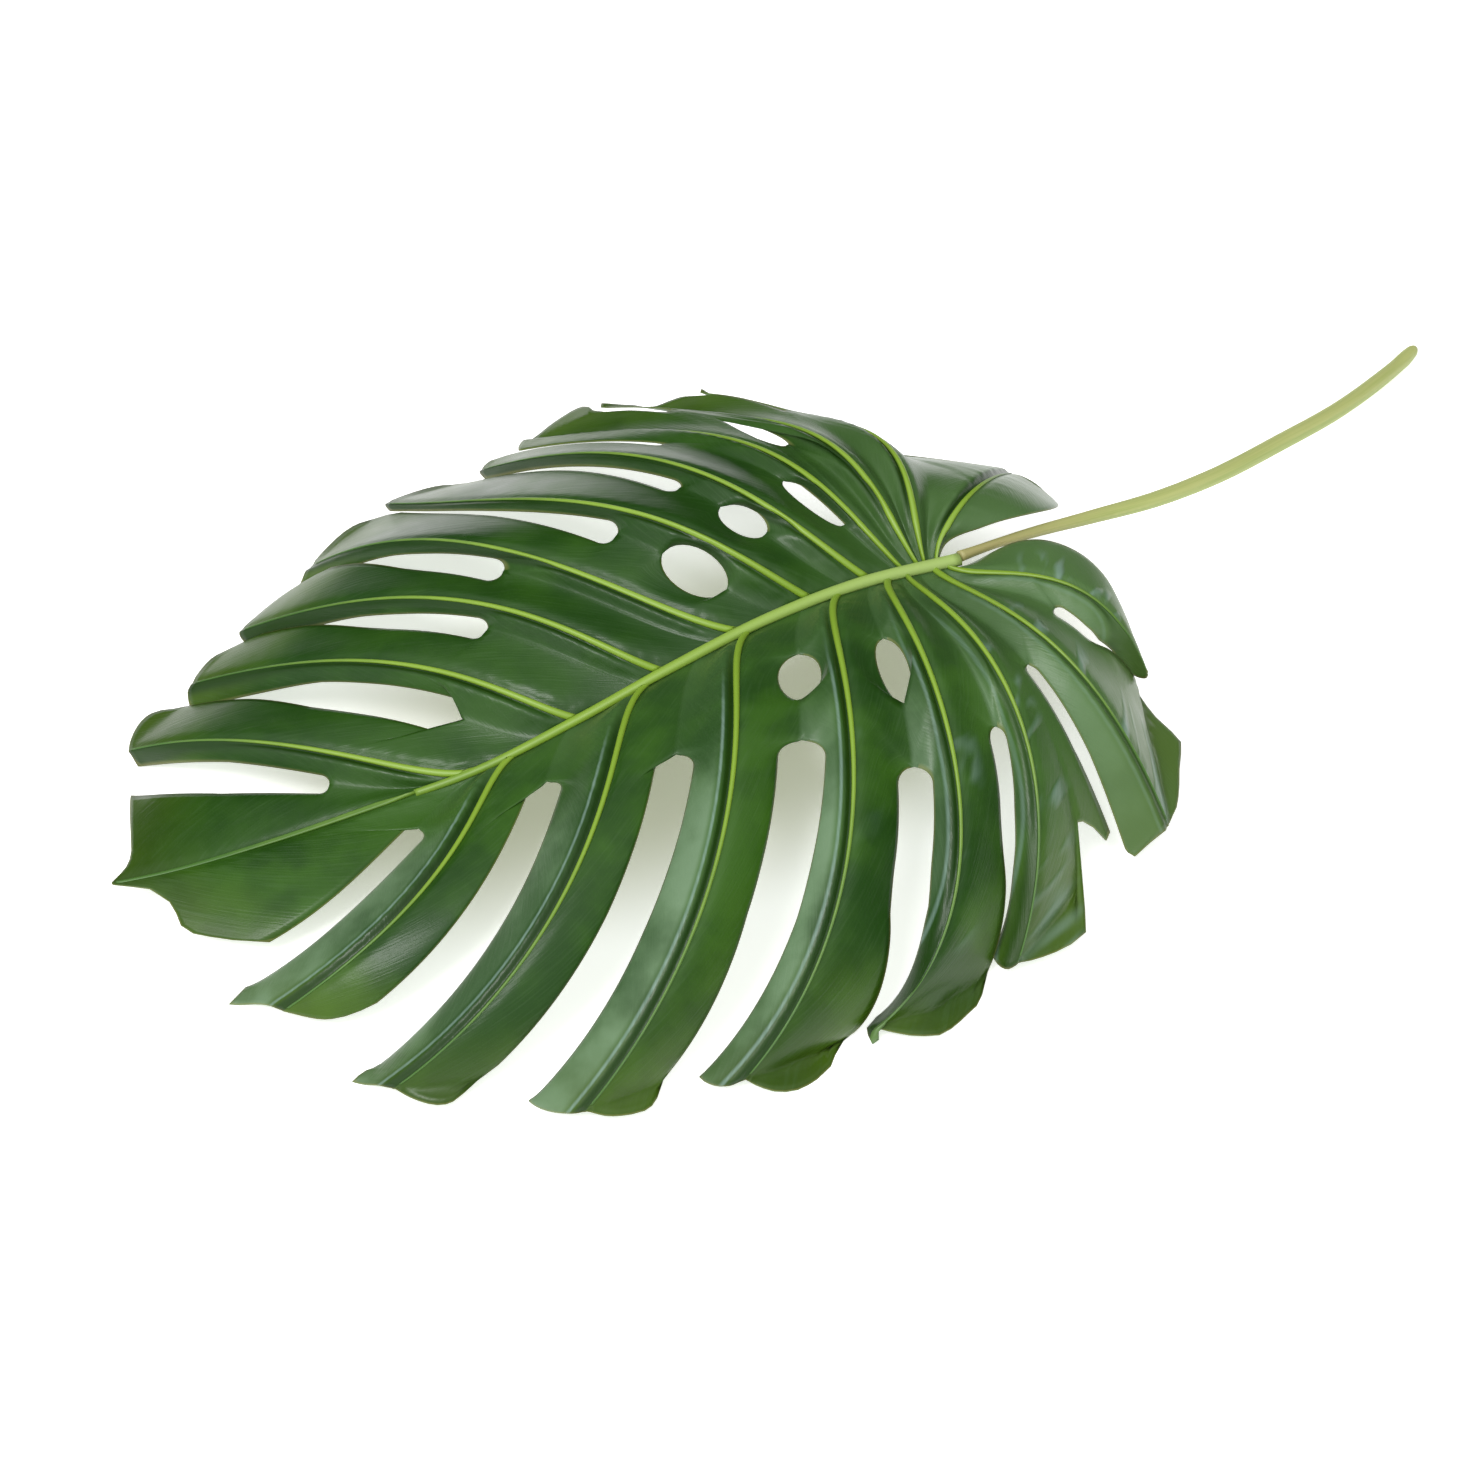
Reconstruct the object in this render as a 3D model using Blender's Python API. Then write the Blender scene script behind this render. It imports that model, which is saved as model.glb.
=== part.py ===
"""A monstera leaf, cut with its stalk and lying on a surface.

Three solids: the dark green blade with its slits, holes and furrows, the yellow-green midrib with
the veins that stand proud of the blade, and the pale stalk. The blade's tip points to -X, the
stalk's cut end to +X, and +Y is the far side of the blade. Tables are in millimetres.
"""
import bpy
import numpy as np

MM = 0.001

# The midrib, from the blade's base: distance towards the tip, offset to the far side, height.
MIDRIB = ((0, 1, 78), (60, 0, 84), (120, -5, 84), (180, -10, 75), (240, -12, 59), (300, -11, 43),
          (360, -3, 31), (420, 3, 23), (480, 9, 19), (525, 18, 17))
# Half of the midrib's width, by distance from the base.
MIDRIB_HALF = ((0, 4.4), (60, 4.0), (250, 3.0), (400, 1.8), (525, 0.8))
BLADE_END = 508
# Past this distance the midrib is the vein of the lobe at the tip.
TIP_LOBE_FROM = 340

# Each side vein: distance of its root from the base, the angle from the midrib at which it leaves
# and at which it ends, how late it bends, its length in plan, its height at a third, at two thirds
# and at its end, then how far the lobe's margin runs past the vein's end at its stemward and at its
# tipward side, as a share of the vein's length.
NEAR_VEINS = (
    (4, 153, 108, 1.5, 126, 82, 78, 42, 0.02, -0.10),
    (12, 111, 109, 1.6, 190, 93, 79, 16, 0.24, 0.03),
    (31, 100, 40, 2.2, 245, 102, 76, 10, 0.10, -0.05),
    (43, 84, -2, 3.4, 290, 104, 67, 9, 0.10, -0.08),
    (76, 75, 11, 2.6, 306, 104, 72, 8, 0.10, -0.04),
    (135, 71, 13, 1.9, 304, 100, 71, 8, 0.09, -0.03),
    (199, 63, -7, 1.9, 284, 83, 60, 8, 0.05, 0.03),
    (282, 56, -10, 1.5, 198, 50, 40, 8, -0.01, 0.07),
)
FAR_VEINS = (
    (8, 148, 130, 1.8, 120, 94, 80, 50, 0.02, 0.02),
    (16, 119, 50, 1.0, 205, 103, 78, 50, 0.02, 0.02),
    (20, 94, 55, 1.0, 240, 107, 80, 48, 0.02, 0.02),
    (31, 81, 51, 1.0, 294, 103, 68, 16, 0.07, -0.03),
    (53, 61, 62, 1.6, 287, 112, 84, 18, 0.01, -0.02),
    (91, 51, 66, 1.7, 300, 114, 79, 20, 0.02, -0.02),
    (139, 51, 51, 1.6, 282, 94, 81, 20, 0.03, 0.02),
    (187, 54, 34, 1.5, 268, 86, 63, 15, 0.00, -0.02),
    (240, 52, 32, 1.5, 241, 67, 47, 11, 0.02, -0.01),
    (307, 42, 36, 1.6, 204, 41, 34, 9, 0.07, 0.01),
)
# The line between each vein and the next: where it lies between them at the root and at the end,
# where its slit starts (as a share of the veins), half of the slit's width at its start, half way
# and at the margin, how far the next lobe laps over this one, how far the line is lifted, and the
# hole nearer the midrib as (from, to, half width).
NEAR_LINES = (
    (0.38, 0.20, 0.51, 5, 4, 1, 18, 0, None),
    (0.53, 0.22, 0.475, 3.5, 4.5, 3, 0, 0, None),
    (0.25, 0.30, 0.52, 5, 4, 1, 12, 0, None),
    (0.36, 0.36, 0.50, 10, 10.5, 2, 16, 0, (0.195, 0.37, 8.5)),
    (0.38, 0.48, 0.37, 13, 13, 8, 4, 0, (0.145, 0.275, 12)),
    (0.50, 0.50, 0.285, 11, 11, 13, 3, 0, None),
    (0.57, 0.47, 0.19, 11, 13, 15, 0, 0, None),
    (0.42, 0.30, 0.265, 8, 8, 9, 0, 0, None),
)
FAR_LINES = (
    (0.50, 0.50, 0.70, 2, 1, 1, 0, 4, None),
    (0.50, 0.50, 0.70, 2, 1, 1, 0, 22, None),
    (0.42, 0.38, 0.80, 3, 2, 2, 0, 20, (0.44, 0.65, 6)),
    (0.12, 0.50, 0.60, 3, 2, 2, 0, 12, (0.125, 0.29, 7.5)),
    (0.38, 0.04, 0.40, 6, 3, 1, 0, 5, (0.175, 0.29, 11)),
    (0.47, 0.05, 0.36, 8, 3, 1, 0, 8, (0.10, 0.25, 13)),
    (0.28, 0.28, 0.48, 8, 6, 1, 6, 6, None),
    (0.28, 0.28, 0.36, 7, 5, 1, 8, 4, None),
    (0.37, 0.33, 0.19, 11, 10, 2, 8, 2, None),
    (0.46, 0.14, 0.355, 6, 11, 12, 0, 0, None),
)
# How far the basal margin lies from the first vein, along that vein.
BASAL_MARGIN = {-1: ((0, 2.5), (0.05, 8), (0.1, 14), (0.15, 20), (0.2, 26), (0.27, 33), (0.35, 37), (0.5, 36),
                     (0.65, 29), (0.8, 18), (1, 7), (1.1, 4)),
                1: ((0, 1.5), (0.08, 2), (0.25, 17), (0.5, 33), (0.8, 37), (1.1, 24))}
# Margins that don't follow the common rule: the two halves of the lobe at the tip, and the stemward
# sides of the second near lobe, which bulges, of the third, which has a notch, and of the three after it.
# Share across the half lobe, share along the vein.
NEAR_TIP_MARGIN = ((0, 1), (0.12, 0.93), (0.3, 0.93), (0.45, 0.96), (0.6, 1.0), (0.8, 0.95), (1, 0.88))
FAR_TIP_MARGIN = ((0, 1), (0.1, 0.96), (0.25, 0.945), (0.5, 0.96), (0.75, 0.98), (1, 1))
BULGING_MARGIN = ((0, 1), (0.07, 1.016), (0.13, 1.032), (0.21, 1.045), (0.43, 1.075), (0.55, 1.10), (0.65, 1.12),
                  (0.73, 1.10), (0.84, 1.055), (0.93, 1.03), (1, 0.995))
NOTCHED_MARGIN = ((0, 1), (0.1, 1.022), (0.2, 1.04), (0.4, 1.066), (0.53, 1.04), (0.6, 0.985), (0.645, 0.86),
                  (0.72, 0.87), (0.88, 0.92), (0.96, 0.975), (1, 0.95))
ROUNDED_MARGIN = ((0, 1), (0.1, 1.02), (0.25, 1.04), (0.43, 1.048), (0.55, 1.048), (0.65, 1.046), (0.84, 1.036),
                  (0.93, 1.022), (1, 0.99))
LEVEL_MARGIN = ((0, 1), (0.25, 1.02), (0.5, 1.03), (0.75, 1.034), (0.9, 1.028), (1, 1.005))
SPECIAL_MARGINS = {(-1, 1): BULGING_MARGIN, (-1, 2): NOTCHED_MARGIN, (-1, 3): ROUNDED_MARGIN,
                   (-1, 4): ROUNDED_MARGIN, (-1, 5): LEVEL_MARGIN}

# The stalk's middle line from the blade's base: distance, offset to the far side, height.
STALK = ((6.3, 3, 79), (32, 7.5, 75.5), (60, 11, 71.5), (100, 16, 64), (150, 24, 53.5), (200, 38, 42.5),
         (260, 60.5, 30), (320, 85, 17.6), (360, 105, 9.8), (392, 123, 3.9), (406, 131, 3.1))
STALK_RADIUS = ((6.3, 3.4), (20, 2.9), (60, 3.3), (110, 4.3), (200, 5.2), (320, 5.2), (380, 4.8), (399, 4.3),
                (403.5, 3.5), (405.5, 2.4))

# The middle of the box round the whole leaf, which becomes the frame's origin.
ORIGIN = np.array([-50.7, 5.9, 0.0])

THICKNESS = 0.9
FURROW_DEPTH = 5.5       # the tipward lip of each vein's furrow
VALLEY_DEPTH = 4.5       # the blade's sag half way between two veins
DROOP = 6.0              # the extra fall of a lobe's edges at its end
BULGE_DROOP = 75         # how steeply the bulging lobe falls past its vein's end
RIB_GAP = 0.3
SLIT_ROUND = 0.035
SETTLING = 1.5           # how softly a low edge settles onto the ground

# Rows of each lobe: the hole starts, the hole ends, the slit starts, its round end is done, the last.
ROWS = (2, 5, 6, 8, 14)
# Columns beyond the vein's own edge, as shares of what is left of the half lobe.
STEMWARD_COLUMNS = (0, 0.34, 0.68, 1)
TIPWARD_COLUMNS = (0, 0.18, 0.6, 1)


def smooth(x, stations):
    """The cubic through the stations, with each one's slope taken from its neighbours."""
    table = np.asarray(stations, float)
    xs, ys = table[:, 0], table[:, 1:]
    x = np.asarray(x, float)
    i = np.clip(np.searchsorted(xs, x, side="right") - 1, 0, len(xs) - 2)
    step = (xs[i + 1] - xs[i])[..., None]
    t = (x - xs[i])[..., None] / step
    slopes = np.gradient(ys, xs, axis=0)
    return ((1 + 2 * t) * (1 - t) ** 2 * ys[i] + t * (1 - t) ** 2 * step * slopes[i]
            + t * t * (3 - 2 * t) * ys[i + 1] + t * t * (t - 1) * step * slopes[i + 1])


def unit(vectors):
    return vectors / np.maximum(np.linalg.norm(vectors, axis=-1, keepdims=True), 1e-9)


def ease(x):
    """0 up to x = 0, 1 from x = 1, smooth between."""
    x = np.clip(x, 0, 1)
    return x * x * (3 - 2 * x)


def midrib_at(distance):
    distance = np.asarray(distance, float)
    return np.concatenate([-distance[..., None], smooth(distance, MIDRIB)], -1)


def midrib_half_at(distance):
    return smooth(distance, MIDRIB_HALF)[..., 0]


def cubic_heights(u, start, third, two_thirds, end):
    """The cubic that has these four heights at u = 0, 1/3, 2/3 and 1, level after 1."""
    u = np.minimum(u, 1)
    return (start * (1 - 3 * u) * (2 - 3 * u) * (1 - u) / 2 + third * 9 * u * (2 - 3 * u) * (1 - u) / 2
            + two_thirds * 9 * u * (3 * u - 1) * (1 - u) / 2 + end * u * (3 * u - 1) * (3 * u - 2) / 2)


def side_vein(side, row):
    """A side vein as a function of b, its share from the root: a plan curve whose heading turns from
    the leaving angle to the end angle, swung towards the tip right at the root, under a cubic of
    heights. Past its end it runs straight on."""
    root, leaves, ends, lateness, length, third, two_thirds, end_height = row[:8]
    edge = midrib_at(root) + np.array([0, side * midrib_half_at(root), 0])
    u = np.linspace(0, 1.4, 281)
    root_swing = 25 * np.exp(-u / 0.08)
    heading = np.radians(leaves + (ends - leaves) * np.minimum(u, 1) ** lateness - root_swing)
    steps = length * np.stack([-np.cos(heading), side * np.sin(heading)], -1)
    moved = np.cumsum((steps[1:] + steps[:-1]) / 2 * np.diff(u)[:, None], axis=0)
    plan = edge[:2] + np.concatenate([[[0, 0]], moved])
    height = cubic_heights(u, edge[2], third, two_thirds, end_height)
    points = np.column_stack([plan, height])

    def at(b):
        return np.stack([np.interp(b, u, points[:, axis]) for axis in range(3)], -1)
    return at


def tip_vein(b):
    return midrib_at(TIP_LOBE_FROM + (BLADE_END - TIP_LOBE_FROM) * np.asarray(b, float))


def rib_half_width(b):
    """Half the width of a side vein: 2.3 mm at its root, 0.5 mm at its end."""
    return 0.5 + 1.8 * (1 - np.clip(b, 0, 1)) ** 1.3


def line_rows(line):
    """Along one line between veins, by row: b, half the gap, and how far the next lobe laps over."""
    slit_from, at_start, half_way, at_end, overlap, _, hole = line[2:]
    hole_row, hole_end_row, slit_row, round_row, last = ROWS
    row = np.arange(last + 1.0)
    hole_from, hole_to, hole_half = hole or (slit_from * 0.3, slit_from * 0.75, 0)
    in_hole = np.clip((row - hole_row) / (hole_end_row - hole_row), 0, 1)
    in_round = np.clip((row - slit_row) / (round_row - slit_row), 0, 1)
    past_round = np.clip((row - round_row) / (last - round_row), 0, 1)
    b = hole_from * np.clip(row / hole_row, 0, 1) ** 1.5
    b += (hole_to - hole_from) * (1 - np.cos(np.pi * in_hole)) / 2
    b += (slit_from - hole_to) * np.clip((row - hole_end_row) / (slit_row - hole_end_row), 0, 1)
    b += SLIT_ROUND * (1 - np.cos(np.pi / 2 * in_round)) + (1 - slit_from - SLIT_ROUND) * past_round
    gap = hole_half * np.sin(np.pi * in_hole) * (row < slit_row)
    gap += at_start * np.sin(np.pi / 2 * in_round) * (row <= round_row)
    gap += np.interp(past_round, (0, 0.5, 1), (at_start, half_way, at_end)) * (row > round_row)
    return b, gap, overlap * ease((past_round - 0.3) / 0.7)


def margin_at(stemward, row, special, across):
    """b of the margin across a half lobe: out past the vein's end by the row's share, with the
    stemward corner rounded off, or the special margin."""
    if special:
        return np.interp(across, *np.array(special).T)
    if stemward:
        return 1 + row[8] * across * (2 - across) - 0.09 * across ** 6
    return 1 + row[9] * across ** 2


class HalfLobe:
    """The blade between one vein and the line (or margin) beside it, as a grid of rows and columns."""

    def __init__(self, side, veins, rows, lines, k, stemward):
        self.columns = np.array(STEMWARD_COLUMNS if stemward else TIPWARD_COLUMNS, float)
        tip_lobe = k == len(rows)
        basal = stemward and k == 0
        last = ROWS[-1]
        row_index = np.arange(last + 1.0)
        vein, row = veins[k], None if tip_lobe else rows[k]
        special = None
        if tip_lobe:
            special = NEAR_TIP_MARGIN if side < 0 else FAR_TIP_MARGIN
        elif stemward:
            special = SPECIAL_MARGINS.get((side, k))
        if basal:
            line_b, gap, overlap = np.linspace(0, 1, last + 1) ** 1.3, 0 * row_index, 0 * row_index
        else:
            line = lines[k - 1 if stemward else k]
            line_b, gap, overlap = line_rows(line)
            k_other = k - 1 if stemward else k + 1
            other = veins[k_other]
        # the extra column at 0 is the vein's centre line
        across = np.concatenate([[0], self.columns])
        vein_b = np.linspace(0, 1, last + 1) ** 1.15
        b = vein_b[:, None] * (1 - across) + line_b[:, None] * across
        free = np.clip((row_index - ROWS[2]) / (last - ROWS[2]), 0, 1) ** 1.5
        b += (margin_at(stemward, row, special, across) - 1) * free[:, None]
        centre = vein(b)
        # past the vein's end every direction stays as it is just before the end
        inner = np.minimum(b, 0.98)
        tangent = unit(vein(inner + 0.01) - vein(inner))
        if basal:
            outward = unit(np.cross(tangent, [0, 0, side]))
            edge = centre + outward * smooth(b, BASAL_MARGIN[side])
            line_up = unit(np.cross(tangent, outward))
            lap = 0 * gap
            line_lift = 0
        else:
            share = line[0] + (line[1] - line[0]) * np.clip(b, 0, 1.2)
            if stemward:
                share = 1 - share
            # past the ends of both veins the lobe runs on square to the chord between them
            chord = other(1.0) - vein(1.0)
            onward = unit(np.array([chord[1], -chord[0], 0]))
            onward *= np.sign(np.sum(onward * (vein(1.0) - vein(0.0))))
            onward[2] = -0.2
            past = np.maximum(b - 1, 0)[..., None] * (170 if tip_lobe else row[4]) * onward
            centre = vein(np.minimum(b, 1)) + past
            beside = other(np.minimum(b, 1)) + past
            middle = centre + share[..., None] * (beside - centre)
            along = (share[..., None] * (other(inner + 0.01) - other(inner))
                     + (1 - share[..., None]) * (vein(inner + 0.01) - vein(inner)))
            line_up = unit(np.cross(along, beside - centre))
            shift = gap - overlap if stemward else gap + overlap
            room = np.linalg.norm(middle - centre, axis=-1) - 4
            shift = np.minimum(shift[:, None], np.maximum(room, 0))
            # the edge is set off square to the line, so that slits and holes end round
            square = unit(centre - beside)
            ahead = unit(along)
            square = unit(square - ahead * np.sum(square * ahead, -1, keepdims=True))
            edge = middle + square * shift[..., None]
            lap = 3.0 * ease(overlap / 6) * (1 if stemward else -1)
            line_lift = line[7]
        line_up *= np.where(line_up[..., 2:] < 0, -1, 1)
        reach = np.linalg.norm(edge - centre, axis=-1)
        half = midrib_half_at(TIP_LOBE_FROM + (BLADE_END - TIP_LOBE_FROM) * b) if tip_lobe else rib_half_width(b)
        covered = half + 0.5
        heading = unit(edge - centre)
        slant = np.linalg.norm(heading - tangent * np.sum(heading * tangent, -1, keepdims=True), axis=-1)
        half = np.minimum(half / np.maximum(slant, 0.3), 0.3 * reach)
        distance = np.where(np.arange(len(across)) == 0, 0, half + (reach - half) * across)
        points = centre + unit(edge - centre) * distance[..., None]
        if not basal:
            # next to the midrib the chord between two vein roots is laid onto the midrib's edge
            part = share * across
            off = [0 if v == len(rows) else midrib_half_at(rows[v][0]) for v in (k, k_other)]
            at_root = [TIP_LOBE_FROM if v == len(rows) else rows[v][0] for v in (k, k_other)]
            rooted = midrib_at(at_root[0] + part * (at_root[1] - at_root[0]))
            if tip_lobe or k_other == len(rows):
                # beside the tip lobe it keeps to the midrib's edge, then turns in to its middle
                towards_tip = 1 - part if tip_lobe else part
                rooted[..., 1] += side * max(off) * (1 - towards_tip ** 6)
            else:
                rooted[..., 1] += side * (off[0] + part * (off[1] - off[0]))
            chord = vein(0 * b) + part[..., None] * (other(0 * b) - vein(0 * b))
            points += (rooted - chord) * np.exp(-b / 0.08)[..., None]
        # relief: up to the furrow's lip, then down to the valley between the veins
        neighbours = self.sideways(veins, k)
        vein_up = unit(np.cross(tangent, neighbours(inner)))
        vein_up *= np.where(vein_up[..., 2:] < 0, -1, 1)
        up = unit((1 - across[:, None]) * vein_up + across[:, None] * line_up)
        root = 1 - np.exp(-b / 0.06)
        lip = (0.25 if stemward else 1.0) * FURROW_DEPTH * root * (1 - 0.6 * np.clip(b, 0, 1))
        valley = line_lift * ease((b - 0.35) / 0.6) - root * (VALLEY_DEPTH + DROOP * ease((b - 0.3) / 0.7))
        if special is BULGING_MARGIN:
            valley = valley - BULGE_DROOP * np.maximum(b - 0.95, 0)
        offset = points - centre
        beyond = np.linalg.norm(offset - tangent * np.sum(offset * tangent, -1, keepdims=True), axis=-1)
        lip = lip * ease((beyond - covered) / 4)
        # a trough with a round floor where the sheet is whole, an edge that bends down where it is slit
        slit = np.ones(last + 1) if basal else ease((row_index - ROWS[2]) / (ROWS[3] - ROWS[2]))
        bend = ease(across) + slit[:, None] * (across ** 1.4 - ease(across))
        relief = lip + (valley + lap[:, None] - lip) * bend
        self.points = points + up * relief[..., None]
        # what would go below the ground settles onto it
        above = self.points[..., 2] - THICKNESS / 2
        self.points[..., 2] = THICKNESS / 2 + SETTLING * np.logaddexp(0, above / SETTLING)
        self.closed = (gap < 1e-6) & (row_index <= ROWS[2]) & (not basal)

    @staticmethod
    def sideways(veins, k):
        before, after = veins[max(k - 1, 0)], veins[min(k + 1, len(veins) - 1)]
        return lambda b: after(b) - before(b)


def build_sheet():
    """The blade as one sheet half way through its thickness: points, faces, and the columns of each
    vein (centre, stemward edge, tipward edge) for the ribs."""
    points, faces, ribs, seams = [], [], {}, {}

    def add(grid):
        start = len(points)
        points.extend(grid.reshape(-1, 3))
        return start + np.arange(grid.shape[0] * grid.shape[1]).reshape(grid.shape[:2])

    tip_columns = None
    for side, rows, lines in ((-1, NEAR_VEINS, NEAR_LINES), (1, FAR_VEINS, FAR_LINES)):
        veins = [side_vein(side, row) for row in rows] + [tip_vein]
        seam, before = [], None
        for k in range(len(veins)):
            centre = None
            for stemward in (True, False):
                if k == len(rows) and not stemward:
                    continue
                half = HalfLobe(side, veins, rows, lines, k, stemward)
                index = add(half.points)
                if centre is None:
                    centre = index[:, 0]
                    if k == len(rows):
                        if tip_columns is not None:
                            centre = tip_columns[0]
                index[:, 0] = centre
                if stemward and before is not None:
                    index[half.closed, -1] = before[half.closed]
                if not stemward:
                    before = index[:, -1]
                ribs.setdefault((side, k), [centre, None, None])[1 if stemward else 2] = index[:, 1]
                ordered = index[:, ::-1] if stemward else index
                seam.extend(ordered[0] if not seam else ordered[0][1:])
                quads = np.stack([ordered[:-1, :-1], ordered[:-1, 1:], ordered[1:, 1:], ordered[1:, :-1]], -1)
                quads = quads.reshape(-1, 4)
                faces.extend(quads[:, ::-1] if side > 0 else quads)
        if tip_columns is None:
            tip_columns = ribs[(side, len(rows))]
        seams[side] = seam
    # the strip under the midrib joins the two sides, and both end at the tip lobe's first point
    near, far = seams[-1], seams[1]
    points = np.array(points)
    i = j = 0
    strip = []
    while i < len(near) - 1 or j < len(far) - 1:
        near_next = points[near[i + 1], 0] if i < len(near) - 1 else -np.inf
        far_next = points[far[j + 1], 0] if j < len(far) - 1 else -np.inf
        if near_next >= far_next:
            strip.append((near[i], far[j], near[i + 1]))
            i += 1
        else:
            strip.append((near[i], far[j], far[j + 1]))
            j += 1
    quads = np.array(faces)
    triangles = np.concatenate([quads[:, [0, 1, 2]], quads[:, [0, 2, 3]], strip])
    used, renumbered = np.unique(triangles, return_inverse=True)
    place = np.zeros(len(points), int)
    place[used] = np.arange(len(used))
    ribs = {key: [place[column] for column in columns if column is not None] for key, columns in ribs.items()}
    return points[used], renumbered.reshape(-1, 3), ribs


def point_normals(points, triangles):
    corners = points[triangles]
    across = np.cross(corners[:, 1] - corners[:, 0], corners[:, 2] - corners[:, 0])
    total = np.zeros_like(points)
    for corner in range(3):
        np.add.at(total, triangles[:, corner], across)
    return unit(total)


def thicken(points, triangles, normals):
    """The closed shell round the sheet: the same triangles above and below, and a rim."""
    count = len(points)
    top = points + normals * THICKNESS / 2
    bottom = points - normals * THICKNESS / 2
    edges = np.concatenate([triangles[:, [0, 1]], triangles[:, [1, 2]], triangles[:, [2, 0]]])
    ours = {tuple(edge) for edge in edges.tolist()}
    rim = np.array([edge for edge in edges.tolist() if (edge[1], edge[0]) not in ours])
    a, b = rim.T
    faces = np.concatenate([triangles, triangles[:, ::-1] + count,
                            np.column_stack([b, a, a + count]), np.column_stack([b, a + count, b + count])])
    return np.concatenate([top, bottom]), faces


def tube(sections):
    """A closed tube through sections that have the same number of points, counter-clockwise as seen
    from the tube's far end."""
    sections = np.asarray(sections)
    rings, around = sections.shape[:2]
    index = np.arange(rings * around).reshape(rings, around)
    turned = np.roll(index, -1, axis=1)
    quads = np.stack([index[:-1], turned[:-1], turned[1:], index[1:]], -1).reshape(-1, 4)
    faces = [quads[:, [0, 1, 2]], quads[:, [0, 2, 3]]]
    for ring, ends in ((index[0], (0, 2, 1)), (index[-1], (0, 1, 2))):
        fan = np.array([(ring[0], ring[i], ring[i + 1]) for i in range(1, around - 1)])
        faces.append(fan[:, ends])
    return sections.reshape(-1, 3), np.concatenate(faces)


def make_object(name, points, faces, material=None):
    mesh = bpy.data.meshes.new(name)
    mesh.from_pydata((np.asarray(points) * MM).tolist(), [], np.asarray(faces).tolist())
    mesh.update()
    made = bpy.data.objects.new(name, mesh)
    bpy.context.scene.collection.objects.link(made)
    if material:
        mesh.materials.append(material)
    return made


def plain_material(name, colour, roughness):
    material = bpy.data.materials.new(name)
    material.use_nodes = True
    shader = material.node_tree.nodes["Principled BSDF"]
    shader.inputs["Base Color"].default_value = (*colour, 1)
    shader.inputs["Roughness"].default_value = roughness
    return material


for left_over in list(bpy.data.objects):
    bpy.data.objects.remove(left_over)

# The blade
sheet, triangles, ribs = build_sheet()
normals = point_normals(sheet, triangles)
shell, shell_faces = thicken(sheet, triangles, normals)
leaf_green = plain_material("leaf_green", (0.06, 0.16, 0.04), 0.4)
blade = make_object("blade", shell - ORIGIN, shell_faces, leaf_green)

# The ribs: the midrib, then one strip along each side vein that runs into it
rib_green = plain_material("rib_green", (0.32, 0.48, 0.09), 0.45)
distances = np.concatenate([[-5], np.linspace(0, TIP_LOBE_FROM - 9, 26)])
level = THICKNESS / 2 + RIB_GAP + 0.1
midrib_sections = []
for distance in distances:
    x, y, z = midrib_at(distance)
    half = midrib_half_at(distance) - 0.7
    height = 0.85 * half + 0.6
    midrib_sections.append([(x, y + half, z + level), (x, y - half, z + level), (x, y - 0.9 * half, z + level + 0.45 * height),
                            (x, y - 0.45 * half, z + level + 0.9 * height), (x, y + 0.45 * half, z + level + 0.9 * height),
                            (x, y + 0.9 * half, z + level + 0.45 * height)])
points, faces = tube(midrib_sections)
ribs_object = make_object("ribs", points - ORIGIN, faces, rib_green)
strips = bpy.data.collections.new("side_ribs")
bpy.context.scene.collection.children.link(strips)
far_tip = ribs.pop((1, len(FAR_VEINS)))
ribs[(-1, len(NEAR_VEINS))].append(far_tip[1])
for (side, k), columns in ribs.items():
    rows = NEAR_VEINS if side < 0 else FAR_VEINS
    centre, stemward, tipward = [column[:-1] for column in columns]
    share = np.linspace(0, 1, len(centre))[:, None]
    up = normals[centre]
    floor = (THICKNESS / 2 + RIB_GAP) * up
    height = (2.2 * (1 - share) ** 1.2 + 0.6) * up
    mid, left, right = sheet[centre] + floor, sheet[stemward] + floor, sheet[tipward] + floor
    crown = mid + height
    sections = np.stack([mid, left, mid + 0.65 * (left - mid) + 0.7 * height, crown,
                         mid + 0.65 * (right - mid) + 0.7 * height, right], 1)
    # the root section is drawn on into the midrib
    if k == len(rows):
        inward = np.array([13, -1.8, 3.1])
    else:
        inward = np.array([0, -side * 0.6 * midrib_half_at(rows[k][0]), 0.25])
    sections = np.concatenate([[sections[0] + inward], sections])
    if side > 0:
        sections = sections[:, (0, 5, 4, 3, 2, 1)]
    points, faces = tube(sections)
    strip = make_object(f"strip_{'near' if side < 0 else 'far'}_{k}", points - ORIGIN, faces)
    bpy.context.scene.collection.objects.unlink(strip)
    strips.objects.link(strip)
union = ribs_object.modifiers.new("join the side ribs", "BOOLEAN")
union.operation = "UNION"
union.operand_type = "COLLECTION"
union.collection = strips
union.solver = "EXACT"
joined = bpy.data.meshes.new_from_object(ribs_object.evaluated_get(bpy.context.evaluated_depsgraph_get()))
ribs_object.modifiers.clear()
ribs_object.data = joined
for strip in list(strips.objects):
    bpy.data.objects.remove(strip)
bpy.data.collections.remove(strips)

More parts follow.
